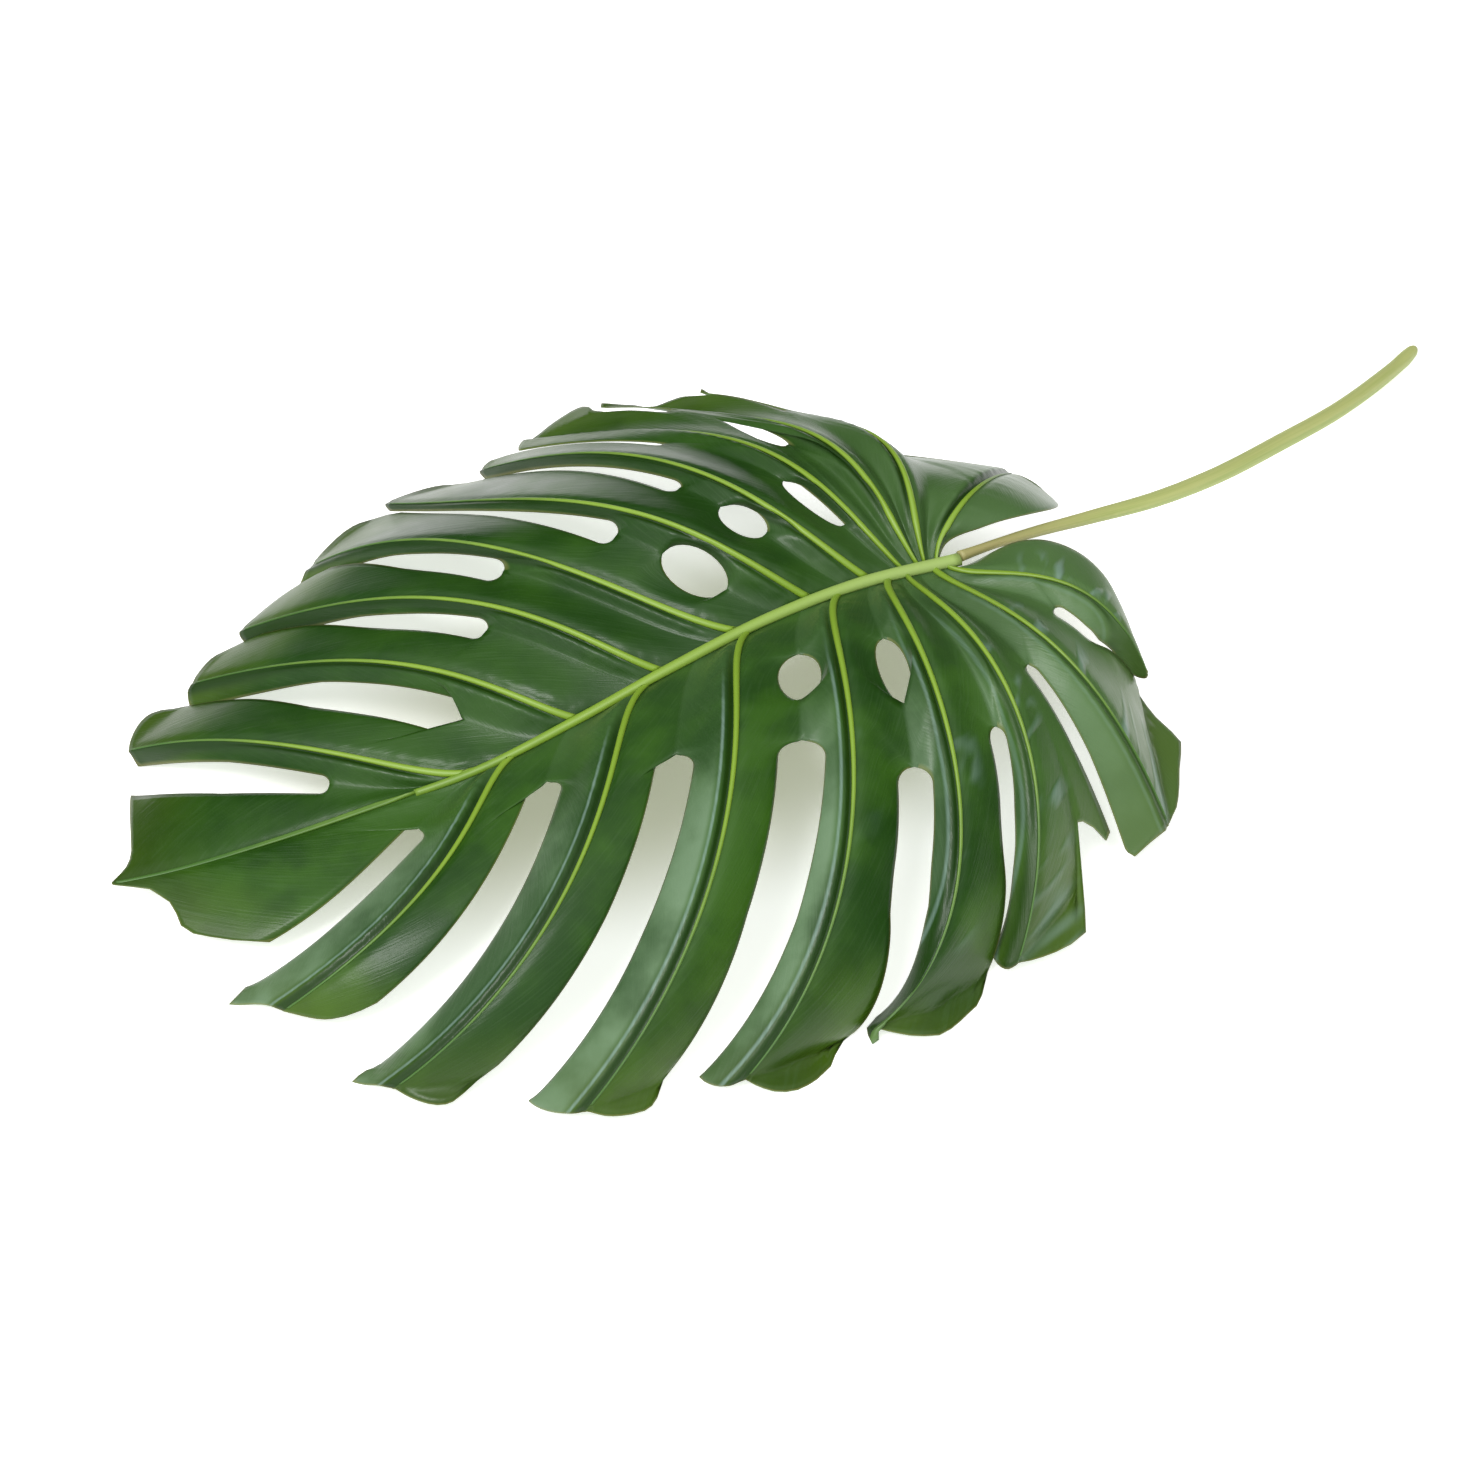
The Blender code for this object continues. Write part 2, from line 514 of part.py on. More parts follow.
# The stalk: a round tube that thins towards the blade and lies on its cut end
stalk_green = plain_material("stalk_green", (0.46, 0.50, 0.22), 0.5)
stations = np.concatenate([np.linspace(STALK[0][0], 90, 9), np.linspace(112, 380, 15), (392, 399, 403.5, 405.5)])
path = np.column_stack([stations, smooth(stations, STALK)])
radius = np.interp(stations, *np.array(STALK_RADIUS).T)
ahead = unit(np.gradient(path, axis=0))
sideways = unit(np.cross([0, 0, 1], ahead))
upward = np.cross(ahead, sideways)
turn = np.linspace(0, 2 * np.pi, 24, endpoint=False)[None, :, None]
round_sections = (path[:, None] + radius[:, None, None]
                  * (np.cos(turn) * sideways[:, None] + np.sin(turn) * upward[:, None]))
round_sections[..., 2] = np.maximum(round_sections[..., 2], 0)
points, faces = tube(round_sections)
make_object("stalk", points - ORIGIN, faces, stalk_green)
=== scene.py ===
import bpy
import numpy as np
from mathutils import Matrix, Vector


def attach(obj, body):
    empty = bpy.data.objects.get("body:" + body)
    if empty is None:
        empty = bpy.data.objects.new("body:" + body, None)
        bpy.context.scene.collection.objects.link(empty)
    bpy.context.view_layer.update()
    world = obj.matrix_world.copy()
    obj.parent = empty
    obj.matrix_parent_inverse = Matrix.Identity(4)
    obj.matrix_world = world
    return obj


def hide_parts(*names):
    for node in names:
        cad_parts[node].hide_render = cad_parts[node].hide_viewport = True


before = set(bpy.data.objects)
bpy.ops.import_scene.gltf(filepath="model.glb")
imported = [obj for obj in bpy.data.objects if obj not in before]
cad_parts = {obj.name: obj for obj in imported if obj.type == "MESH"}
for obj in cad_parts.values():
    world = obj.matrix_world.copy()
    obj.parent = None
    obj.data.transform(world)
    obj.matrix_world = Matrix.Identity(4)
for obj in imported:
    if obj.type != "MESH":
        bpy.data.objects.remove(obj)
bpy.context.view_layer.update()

# Blade. The real one is a single leathery sheet a third of a millimetre thick, arched over its
# midrib, split from its margin into lobes and pierced by a row of holes beside the midrib. Each
# side vein lies in a furrow, with a steep wall towards the leaf's tip.
MM = 0.001
# The middle of the box round the whole leaf, from the blade's base.
ORIGIN = np.array([-50.7, 5.9, 0.0])
# The midrib: distance from the blade's base towards the tip, offset to the far side, height.
MIDRIB = ((0, 1, 78), (60, 0, 84), (120, -5, 84), (180, -10, 75), (240, -12, 59), (300, -11, 43),
          (360, -3, 31), (420, 3, 23), (480, 9, 19), (525, 18, 17))
# Half of the midrib's width, by distance from the base.
MIDRIB_HALF = ((0, 4.4), (60, 4.0), (250, 3.0), (400, 1.8), (525, 0.8))
BLADE_END = 508
# Past this distance the midrib is the vein of the lobe at the tip.
TIP_LOBE_FROM = 340

# Each side vein: distance of its root from the base, the angle from the midrib at which it leaves
# and at which it ends, how late it bends, its length in plan, its height at a third, at two thirds
# and at its end, then how far the lobe's margin runs past the vein's end at its stemward and at its
# tipward side, as a share of the vein's length. None stands where one of the margins below is used.
NEAR_VEINS = (
    (4, 153, 108, 1.5, 126, 82, 78, 42, 0.02, -0.10),
    (12, 111, 109, 1.6, 190, 93, 79, 16, None, 0.03),
    (31, 100, 40, 2.2, 245, 102, 76, 10, None, -0.05),
    (43, 84, -2, 3.4, 290, 104, 67, 9, None, -0.08),
    (76, 75, 11, 2.6, 306, 104, 72, 8, None, -0.04),
    (135, 71, 13, 1.9, 304, 100, 71, 8, None, -0.03),
    (199, 63, -7, 1.9, 284, 83, 60, 8, 0.05, 0.03),
    (282, 56, -10, 1.5, 198, 50, 40, 8, -0.01, 0.07),
)
FAR_VEINS = (
    (8, 148, 130, 1.8, 120, 94, 80, 50, 0.02, 0.02),
    (16, 119, 50, 1.0, 205, 103, 78, 50, 0.02, 0.02),
    (20, 94, 55, 1.0, 240, 107, 80, 48, 0.02, 0.02),
    (31, 81, 51, 1.0, 294, 103, 68, 16, 0.07, -0.03),
    (53, 61, 62, 1.6, 287, 112, 84, 18, 0.01, -0.02),
    (91, 51, 66, 1.7, 300, 114, 79, 20, 0.02, -0.02),
    (139, 51, 51, 1.6, 282, 94, 81, 20, 0.03, 0.02),
    (187, 54, 34, 1.5, 268, 86, 63, 15, 0.00, -0.02),
    (240, 52, 32, 1.5, 241, 67, 47, 11, 0.02, -0.01),
    (307, 42, 36, 1.6, 204, 41, 34, 9, 0.07, 0.01),
)
# The line between each vein and the next: where it lies between them at the root and at the end,
# where its slit starts (as a share of the veins), half of the slit's width at its start, half way
# and at the margin, how far the next lobe laps over this one, how far the line is lifted, and the
# hole nearer the midrib as (from, to, half width).
NEAR_LINES = (
    (0.38, 0.20, 0.51, 5, 4, 1, 18, 0, None),
    (0.53, 0.22, 0.475, 3.5, 4.5, 3, 0, 0, None),
    (0.25, 0.30, 0.52, 5, 4, 1, 12, 0, None),
    (0.36, 0.36, 0.50, 10, 10.5, 2, 16, 0, (0.195, 0.37, 8.5)),
    (0.38, 0.48, 0.37, 13, 13, 8, 4, 0, (0.145, 0.275, 12)),
    (0.50, 0.50, 0.285, 11, 11, 13, 3, 0, None),
    (0.57, 0.47, 0.19, 11, 13, 15, 0, 0, None),
    (0.42, 0.30, 0.265, 8, 8, 9, 0, 0, None),
)
FAR_LINES = (
    (0.50, 0.50, 0.70, 2, 1, 1, 0, 4, None),
    (0.50, 0.50, 0.70, 2, 1, 1, 0, 22, None),
    (0.42, 0.38, 0.80, 3, 2, 2, 0, 20, (0.44, 0.65, 6)),
    (0.12, 0.50, 0.60, 3, 2, 2, 0, 12, (0.125, 0.29, 7.5)),
    (0.38, 0.04, 0.40, 6, 3, 1, 0, 5, (0.175, 0.29, 11)),
    (0.47, 0.05, 0.36, 8, 3, 1, 0, 8, (0.10, 0.25, 13)),
    (0.28, 0.28, 0.48, 8, 6, 1, 6, 6, None),
    (0.28, 0.28, 0.36, 7, 5, 1, 8, 4, None),
    (0.37, 0.33, 0.19, 11, 10, 2, 8, 2, None),
    (0.46, 0.14, 0.355, 6, 11, 12, 0, 0, None),
)
# How far the basal margin lies from the first vein, along that vein.
BASAL_MARGIN = {
    -1: ((0, 2.5), (0.05, 8), (0.1, 14), (0.15, 20), (0.2, 26), (0.27, 33), (0.35, 37), (0.5, 36),
         (0.65, 29), (0.8, 18), (1, 7), (1.1, 4)),
    1: ((0, 1.5), (0.08, 2), (0.25, 17), (0.5, 33), (0.8, 37), (1.1, 24)),
}
# Margins that don't follow the common rule: the two halves of the lobe at the tip, and the stemward
# sides of the second near lobe, which bulges, of the third, which has a notch, and of the three after it.
# Share across the half lobe, share along the vein.
NEAR_TIP_MARGIN = ((0, 1), (0.12, 0.93), (0.3, 0.93), (0.45, 0.96), (0.6, 1.0), (0.8, 0.95), (1, 0.88))
FAR_TIP_MARGIN = ((0, 1), (0.1, 0.96), (0.25, 0.945), (0.5, 0.96), (0.75, 0.98), (1, 1))
BULGING_MARGIN = ((0, 1), (0.07, 1.016), (0.13, 1.032), (0.21, 1.045), (0.43, 1.075), (0.55, 1.10),
                  (0.65, 1.12), (0.73, 1.10), (0.84, 1.055), (0.93, 1.03), (1, 0.995))
NOTCHED_MARGIN = ((0, 1), (0.1, 1.022), (0.2, 1.04), (0.4, 1.066), (0.53, 1.04), (0.6, 0.985),
                  (0.645, 0.86), (0.72, 0.87), (0.88, 0.92), (0.96, 0.975), (1, 0.95))
ROUNDED_MARGIN = ((0, 1), (0.1, 1.02), (0.25, 1.04), (0.43, 1.048), (0.55, 1.048), (0.65, 1.046),
                  (0.84, 1.036), (0.93, 1.022), (1, 0.99))
LEVEL_MARGIN = ((0, 1), (0.25, 1.02), (0.5, 1.03), (0.75, 1.034), (0.9, 1.028), (1, 1.005))
TIP_MARGINS = {-1: NEAR_TIP_MARGIN, 1: FAR_TIP_MARGIN}
STEMWARD_MARGINS = {(-1, 1): BULGING_MARGIN, (-1, 2): NOTCHED_MARGIN, (-1, 3): ROUNDED_MARGIN,
                    (-1, 4): ROUNDED_MARGIN, (-1, 5): LEVEL_MARGIN}

BLADE_THICKNESS = 0.7
FURROW_DEPTH = 5.5       # the tipward lip of each vein's furrow
VALLEY_DEPTH = 4.5       # the blade's sag half way between two veins
DROOP = 6.0              # the extra fall of a lobe's edges at its end
BULGE_DROOP = 75         # how steeply the bulging lobe falls past its vein's end
SLIT_ROUND = 0.035
SETTLING = 1.5           # how softly a low edge settles onto the ground
PUCKER = 0.45            # the small cross ridges that the sheet throws up beside a vein
RIDGE_SPACINGS = (11, 6.7)    # the lengths of the two waves that make up those ridges
RIDGE_SLANT = 0.35       # how far they lean back, for each millimetre away from the vein
ROLLED_EDGE = 0.8        # how far the cut edges turn down
ROOT_SWING = 25          # by how many degrees a side vein's root is turned towards the tip
TIP_LOBE_LENGTH = 170    # what counts as the length of the tip lobe's vein
LAST_TURN = 0.98         # past this share of a vein its directions stay as they are
ONWARD_FALL = -0.2       # the slope of a lobe past the ends of its veins
LEAST_WIDTH = 4          # how near a slit may come to its vein
LAP_LIFT = 3.0           # how far a lobe moves up, and its neighbour down, where they lap
BESIDE_RIB = 0.5         # the blade starts to rise this far from a rib's edge
RISE_WIDTH = 4           # and has risen over this width
NO_EDGE = 99             # stands for the distance to an edge where none is open

# Rows of each lobe: the hole starts, the hole ends, the slit starts, its round end is done, the last.
ROWS = (12, 26, 32, 40, 84)
# Columns beyond the vein's own edge, as shares of what is left of the half lobe.
STEMWARD_COLUMNS = (0, 0.03, 0.07, 0.13, 0.21, 0.31, 0.43, 0.55, 0.65, 0.73, 0.84, 0.93, 1)
TIPWARD_COLUMNS = (0, 0.02, 0.045, 0.075, 0.11, 0.16, 0.23, 0.32, 0.44, 0.57, 0.70, 0.83, 0.93, 1)


def smooth(x, stations):
    """The cubic through the stations, with each one's slope taken from its neighbours."""
    table = np.asarray(stations, float)
    xs, ys = table[:, 0], table[:, 1:]
    x = np.asarray(x, float)
    i = np.clip(np.searchsorted(xs, x, side="right") - 1, 0, len(xs) - 2)
    step = (xs[i + 1] - xs[i])[..., None]
    t = (x - xs[i])[..., None] / step
    slopes = np.gradient(ys, xs, axis=0)
    return ((1 + 2 * t) * (1 - t) ** 2 * ys[i] + t * (1 - t) ** 2 * step * slopes[i]
            + t * t * (3 - 2 * t) * ys[i + 1] + t * t * (t - 1) * step * slopes[i + 1])


def unit(vectors):
    """Each vector divided by its length."""
    return vectors / np.maximum(np.linalg.norm(vectors, axis=-1, keepdims=True), 1e-9)


def ease(x):
    """0 up to x = 0, 1 from x = 1, and 3x² - 2x³ between."""
    x = np.clip(x, 0, 1)
    return x * x * (3 - 2 * x)


def midrib_at(distance):
    """The point of the midrib's middle line at a distance from the blade's base."""
    distance = np.asarray(distance, float)
    return np.concatenate([-distance[..., None], smooth(distance, MIDRIB)], -1)


def midrib_half_at(distance):
    """Half of the midrib's width at a distance from the blade's base."""
    return smooth(distance, MIDRIB_HALF)[..., 0]


def cubic_heights(u, start, third, two_thirds, end):
    """The cubic that has these four heights at u = 0, 1/3, 2/3 and 1, level after 1."""
    u = np.minimum(u, 1)
    return (start * (1 - 3 * u) * (2 - 3 * u) * (1 - u) / 2 + third * 9 * u * (2 - 3 * u) * (1 - u) / 2
            + two_thirds * 9 * u * (3 * u - 1) * (1 - u) / 2 + end * u * (3 * u - 1) * (3 * u - 2) / 2)


def side_vein(side, row):
    """A side vein as a function of b, its share from the root: a plan curve whose heading turns from
    the leaving angle to the end angle, swung towards the tip right at the root, under a cubic of
    heights. Past its end it runs straight on."""
    root, leaves, ends, lateness, length, third, two_thirds, end_height = row[:8]
    edge = midrib_at(root) + np.array([0, side * midrib_half_at(root), 0])
    u = np.linspace(0, 1.4, 281)
    root_swing = ROOT_SWING * np.exp(-u / 0.08)
    heading = np.radians(leaves + (ends - leaves) * np.minimum(u, 1) ** lateness - root_swing)
    steps = length * np.stack([-np.cos(heading), side * np.sin(heading)], -1)
    moved = np.cumsum((steps[1:] + steps[:-1]) / 2 * np.diff(u)[:, None], axis=0)
    plan = edge[:2] + np.concatenate([[[0, 0]], moved])
    height = cubic_heights(u, edge[2], third, two_thirds, end_height)
    points = np.column_stack([plan, height])

    def at(b):
        """The point at the share b, or an array of points."""
        return np.stack([np.interp(b, u, points[:, axis]) for axis in range(3)], -1)
    return at


def tip_distance(b):
    """How far from the blade's base the share b of the tip lobe's vein lies."""
    return TIP_LOBE_FROM + (BLADE_END - TIP_LOBE_FROM) * np.asarray(b, float)


def tip_vein(b):
    """The vein of the lobe at the tip, which is the end of the midrib, as a function of b."""
    return midrib_at(tip_distance(b))


def rib_half_width(b):
    """Half the width of a side vein: 2.3 mm at its root, 0.5 mm at its end."""
    return 0.5 + 1.8 * (1 - np.clip(b, 0, 1)) ** 1.3


def line_rows(line):
    """Along one line between veins, by row: b, half the gap, and how far the next lobe laps over."""
    slit_from, at_start, half_way, at_end, overlap, _, hole = line[2:]
    hole_row, hole_end_row, slit_row, round_row, last = ROWS
    row = np.arange(last + 1.0)
    hole_from, hole_to, hole_half = hole or (slit_from * 0.3, slit_from * 0.75, 0)
    in_hole = np.clip((row - hole_row) / (hole_end_row - hole_row), 0, 1)
    in_round = np.clip((row - slit_row) / (round_row - slit_row), 0, 1)
    past_round = np.clip((row - round_row) / (last - round_row), 0, 1)
    b = hole_from * np.clip(row / hole_row, 0, 1) ** 1.5
    b += (hole_to - hole_from) * (1 - np.cos(np.pi * in_hole)) / 2
    b += (slit_from - hole_to) * np.clip((row - hole_end_row) / (slit_row - hole_end_row), 0, 1)
    b += SLIT_ROUND * (1 - np.cos(np.pi / 2 * in_round)) + (1 - slit_from - SLIT_ROUND) * past_round
    gap = hole_half * np.sin(np.pi * in_hole) * (row < slit_row)
    gap += at_start * np.sin(np.pi / 2 * in_round) * (row <= round_row)
    gap += np.interp(past_round, (0, 0.5, 1), (at_start, half_way, at_end)) * (row > round_row)
    return b, gap, overlap * ease((past_round - 0.3) / 0.7)


def turned_up(vectors):
    """The vectors, with those that point down turned round."""
    return vectors * np.where(vectors[..., 2:] < 0, -1, 1)


class HalfLobe:
    """The blade between one vein and the line (or margin) beside it, as a grid of rows and columns:
    its points, the rows in which it is joined to its neighbour, and what the material has to know."""

    def __init__(self, side, veins, rows, lines, k, stemward):
        self.side, self.k, self.stemward = side, k, stemward
        self.veins, self.rows = veins, rows
        self.vein = veins[k]
        self.tip_lobe = k == len(rows)
        self.basal = stemward and k == 0
        self.length = TIP_LOBE_LENGTH if self.tip_lobe else rows[k][4]
        last = ROWS[-1]
        row_index = np.arange(last + 1.0)
        if self.basal:
            line_b = np.linspace(0, 1, last + 1) ** 1.3
            self.gap = self.overlap = 0 * row_index
        else:
            self.k_other = k - 1 if stemward else k + 1
            self.other = veins[self.k_other]
            self.line = lines[min(k, self.k_other)]
            line_b, self.gap, self.overlap = line_rows(self.line)
        # the extra column at 0 is the vein's centre line
        self.across = np.concatenate([[0], STEMWARD_COLUMNS if stemward else TIPWARD_COLUMNS])
        vein_b = np.linspace(0, 1, last + 1) ** 1.15
        self.b = vein_b[:, None] * (1 - self.across) + line_b[:, None] * self.across
        self.free = np.clip((row_index - ROWS[2]) / (last - ROWS[2]), 0, 1) ** 1.5
        self.slit = ease((row_index - ROWS[2]) / (ROWS[3] - ROWS[2]))
        self.open_edge = ease(self.gap / 2)
        if self.basal:
            self.slit = self.open_edge = np.ones(last + 1)
        self.b += (self.margin() - 1) * self.free[:, None]
        self.closed = (self.gap < 1e-6) & (row_index <= ROWS[2]) & (not self.basal)
        # past the vein's end every direction stays as it is just before the end
        self.inner = np.minimum(self.b, LAST_TURN)
        self.tangent = unit(self.step_along(self.vein))
        if self.basal:
            self.place_basal_edge()
        else:
            self.place_shared_edge()
        self.line_up = turned_up(self.line_up)
        self.lay_out()
        if not self.basal:
            self.fit_to_midrib()
        self.raise_relief()

    def margin(self):
        """b of the margin across the half lobe: out past the vein's end by the row's share, with the
        stemward corner rounded off, or a margin of its own."""
        own = None
        if self.tip_lobe:
            own = TIP_MARGINS[self.side]
        elif self.stemward:
            own = STEMWARD_MARGINS.get((self.side, self.k))
        if own:
            return np.interp(self.across, *np.array(own).T)
        row = self.rows[self.k]
        if self.stemward:
            return 1 + row[8] * self.across * (2 - self.across) - 0.09 * self.across ** 6
        return 1 + row[9] * self.across ** 2

    def step_along(self, vein):
        """A short step along a vein, at every point of the grid."""
        return vein(self.inner + 0.01) - vein(self.inner)

    def place_basal_edge(self):
        """The basal margin, beside the first vein, and which way is up there."""
        self.centre = self.vein(self.b)
        outward = unit(np.cross(self.tangent, [0, 0, self.side]))
        self.edge = self.centre + outward * smooth(self.b, BASAL_MARGIN[self.side])
        self.line_up = unit(np.cross(self.tangent, outward))
        self.lap = 0 * self.gap
        self.line_lift = 0

    def place_shared_edge(self):
        """The edge along the line that two veins share, and which way is up there."""
        b, vein, other = self.b, self.vein, self.other
        share = self.line[0] + (self.line[1] - self.line[0]) * np.clip(b, 0, 1.2)
        self.share = 1 - share if self.stemward else share
        share = self.share[..., None]
        # past the ends of both veins the lobe runs on square to the chord between them
        chord = other(1.0) - vein(1.0)
        onward = unit(np.array([chord[1], -chord[0], 0]))
        onward *= np.sign(np.sum(onward * (vein(1.0) - vein(0.0))))
        onward[2] = ONWARD_FALL
        past = np.maximum(b - 1, 0)[..., None] * self.length * onward
        self.centre = vein(np.minimum(b, 1)) + past
        beside = other(np.minimum(b, 1)) + past
        middle = self.centre + share * (beside - self.centre)
        along = share * self.step_along(other) + (1 - share) * self.step_along(vein)
        self.line_up = unit(np.cross(along, beside - self.centre))
        shift = self.gap - self.overlap if self.stemward else self.gap + self.overlap
        room = np.linalg.norm(middle - self.centre, axis=-1) - LEAST_WIDTH
        shift = np.minimum(shift[:, None], np.maximum(room, 0))
        # the edge is set off square to the line, so that slits and holes end round
        square = unit(self.centre - beside)
        ahead = unit(along)
        square = unit(square - ahead * np.sum(square * ahead, -1, keepdims=True))
        self.edge = middle + square * shift[..., None]
        self.lap = LAP_LIFT * ease(self.overlap / 6) * (1 if self.stemward else -1)
        self.line_lift = self.line[7]

    def lay_out(self):
        """The points between the vein's own edge and the lobe's edge, still without relief."""
        half = midrib_half_at(tip_distance(self.b)) if self.tip_lobe else rib_half_width(self.b)
        self.covered = half + BESIDE_RIB
        self.reach = np.linalg.norm(self.edge - self.centre, axis=-1)
        heading = unit(self.edge - self.centre)
        square = heading - self.tangent * np.sum(heading * self.tangent, -1, keepdims=True)
        half = np.minimum(half / np.maximum(np.linalg.norm(square, axis=-1), 0.3), 0.3 * self.reach)
        is_centre = np.arange(len(self.across)) == 0
        distance = np.where(is_centre, 0, half + (self.reach - half) * self.across)
        self.flat = self.centre + heading * distance[..., None]

    def fit_to_midrib(self):
        """Lays the chord between the roots of the two veins onto the midrib's edge."""
        part = self.share * self.across
        roots, offs = [], []
        for k in (self.k, self.k_other):
            at_tip = k == len(self.rows)
            roots.append(TIP_LOBE_FROM if at_tip else self.rows[k][0])
            offs.append(0 if at_tip else midrib_half_at(self.rows[k][0]))
        rooted = midrib_at(roots[0] + part * (roots[1] - roots[0]))
        if len(self.rows) in (self.k, self.k_other):
            # beside the tip lobe it keeps to the midrib's edge, then turns in to its middle
            towards_tip = 1 - part if self.tip_lobe else part
            rooted[..., 1] += self.side * max(offs) * (1 - towards_tip ** 6)
        else:
            rooted[..., 1] += self.side * (offs[0] + part * (offs[1] - offs[0]))
        start, other_start = self.vein(0 * self.b), self.other(0 * self.b)
        chord = start + part[..., None] * (other_start - start)
        self.flat += (rooted - chord) * np.exp(-self.b / 0.08)[..., None]

    def raise_relief(self):
        """Up to the furrow's lip, then down to the valley between the veins, with the small ridges
        beside the vein and the rolled edge. What would go below the ground settles onto it."""
        b, across, tangent, stemward = self.b, self.across, self.tangent, self.stemward
        before, after = self.veins[max(self.k - 1, 0)], self.veins[min(self.k + 1, len(self.veins) - 1)]
        vein_up = turned_up(unit(np.cross(tangent, after(self.inner) - before(self.inner))))
        up = unit((1 - across[:, None]) * vein_up + across[:, None] * self.line_up)
        root = 1 - np.exp(-b / 0.06)
        lip = (0.25 if stemward else 1.0) * FURROW_DEPTH * root * (1 - 0.6 * np.clip(b, 0, 1))
        depth = root * (VALLEY_DEPTH + DROOP * ease((b - 0.3) / 0.7))
        valley = self.line_lift * ease((b - 0.35) / 0.6) - depth
        if stemward and STEMWARD_MARGINS.get((self.side, self.k)) is BULGING_MARGIN:
            valley = valley - BULGE_DROOP * np.maximum(b - 0.95, 0)
        offset = self.flat - self.centre
        beyond = np.linalg.norm(offset - tangent * np.sum(offset * tangent, -1, keepdims=True), axis=-1)
        rise = ease((beyond - self.covered) / RISE_WIDTH)
        lip = lip * rise
        # a trough with a round floor where the sheet is whole, an edge that bends down where it is slit
        bend = ease(across) + self.slit[:, None] * (across ** 1.4 - ease(across))
        relief = lip + (valley + self.lap[:, None] - lip) * bend
        run = b * self.length - RIDGE_SLANT * beyond
        ridges = (np.sin(2 * np.pi * run / RIDGE_SPACINGS[0] + 1.7 * self.k)
                  + 0.6 * np.sin(2 * np.pi * run / RIDGE_SPACINGS[1] + 0.6 * self.k))
        relief += (PUCKER * root * ridges * rise * np.exp(-beyond / 16)
                   * (0.5 + 0.9 * np.exp(-b / 0.2)) * (0.5 if stemward else 1.0) * (1 - across))
        to_edge = self.reach * (1 - across)
        relief -= ROLLED_EDGE * np.exp(-to_edge / 2.5) * self.open_edge[:, None] * (across > 0)
        self.points = self.flat + up * relief[..., None]
        above = self.points[..., 2] - BLADE_THICKNESS / 2
        self.points[..., 2] = BLADE_THICKNESS / 2 + SETTLING * np.logaddexp(0, above / SETTLING)
        to_end = np.abs(self.margin() - b) * self.length + NO_EDGE * (self.free[:, None] <= 0)
        self.facts = np.stack([
            np.clip(b, 0, 1.2),
            across + 0 * b,
            np.full(b.shape, 0.0 if stemward else 1.0),
            beyond,
            np.minimum(np.where(self.open_edge[:, None] > 0.001, to_edge, NO_EDGE), to_end),
            np.full(b.shape, (self.k * 0.37 + 0.19 * (self.side > 0)) % 1.0),
            np.full(b.shape, 0.0 if self.side < 0 else 1.0),
        ], -1)


# What the material knows at each point: the share along the vein and across the half lobe, 1 on the
# vein's tipward side, the millimetres from the vein's middle and from the nearest open edge, a number
# of the lobe's own, and 1 on the leaf's far side.
FACTS = ("along", "across", "tipward", "from_vein", "from_edge", "lobe", "far_side")


def midrib_strip(points, near, far):
    """The triangles under the midrib, which join the two sides' seams up to the tip lobe's start."""
    i = j = 0
    strip = []
    while i < len(near) - 1 or j < len(far) - 1:
        near_next = points[near[i + 1], 0] if i < len(near) - 1 else -np.inf
        far_next = points[far[j + 1], 0] if j < len(far) - 1 else -np.inf
        if near_next >= far_next:
            strip.append((near[i], far[j], near[i + 1]))
            i += 1
        else:
            strip.append((near[i], far[j], far[j + 1]))
            j += 1
    return strip


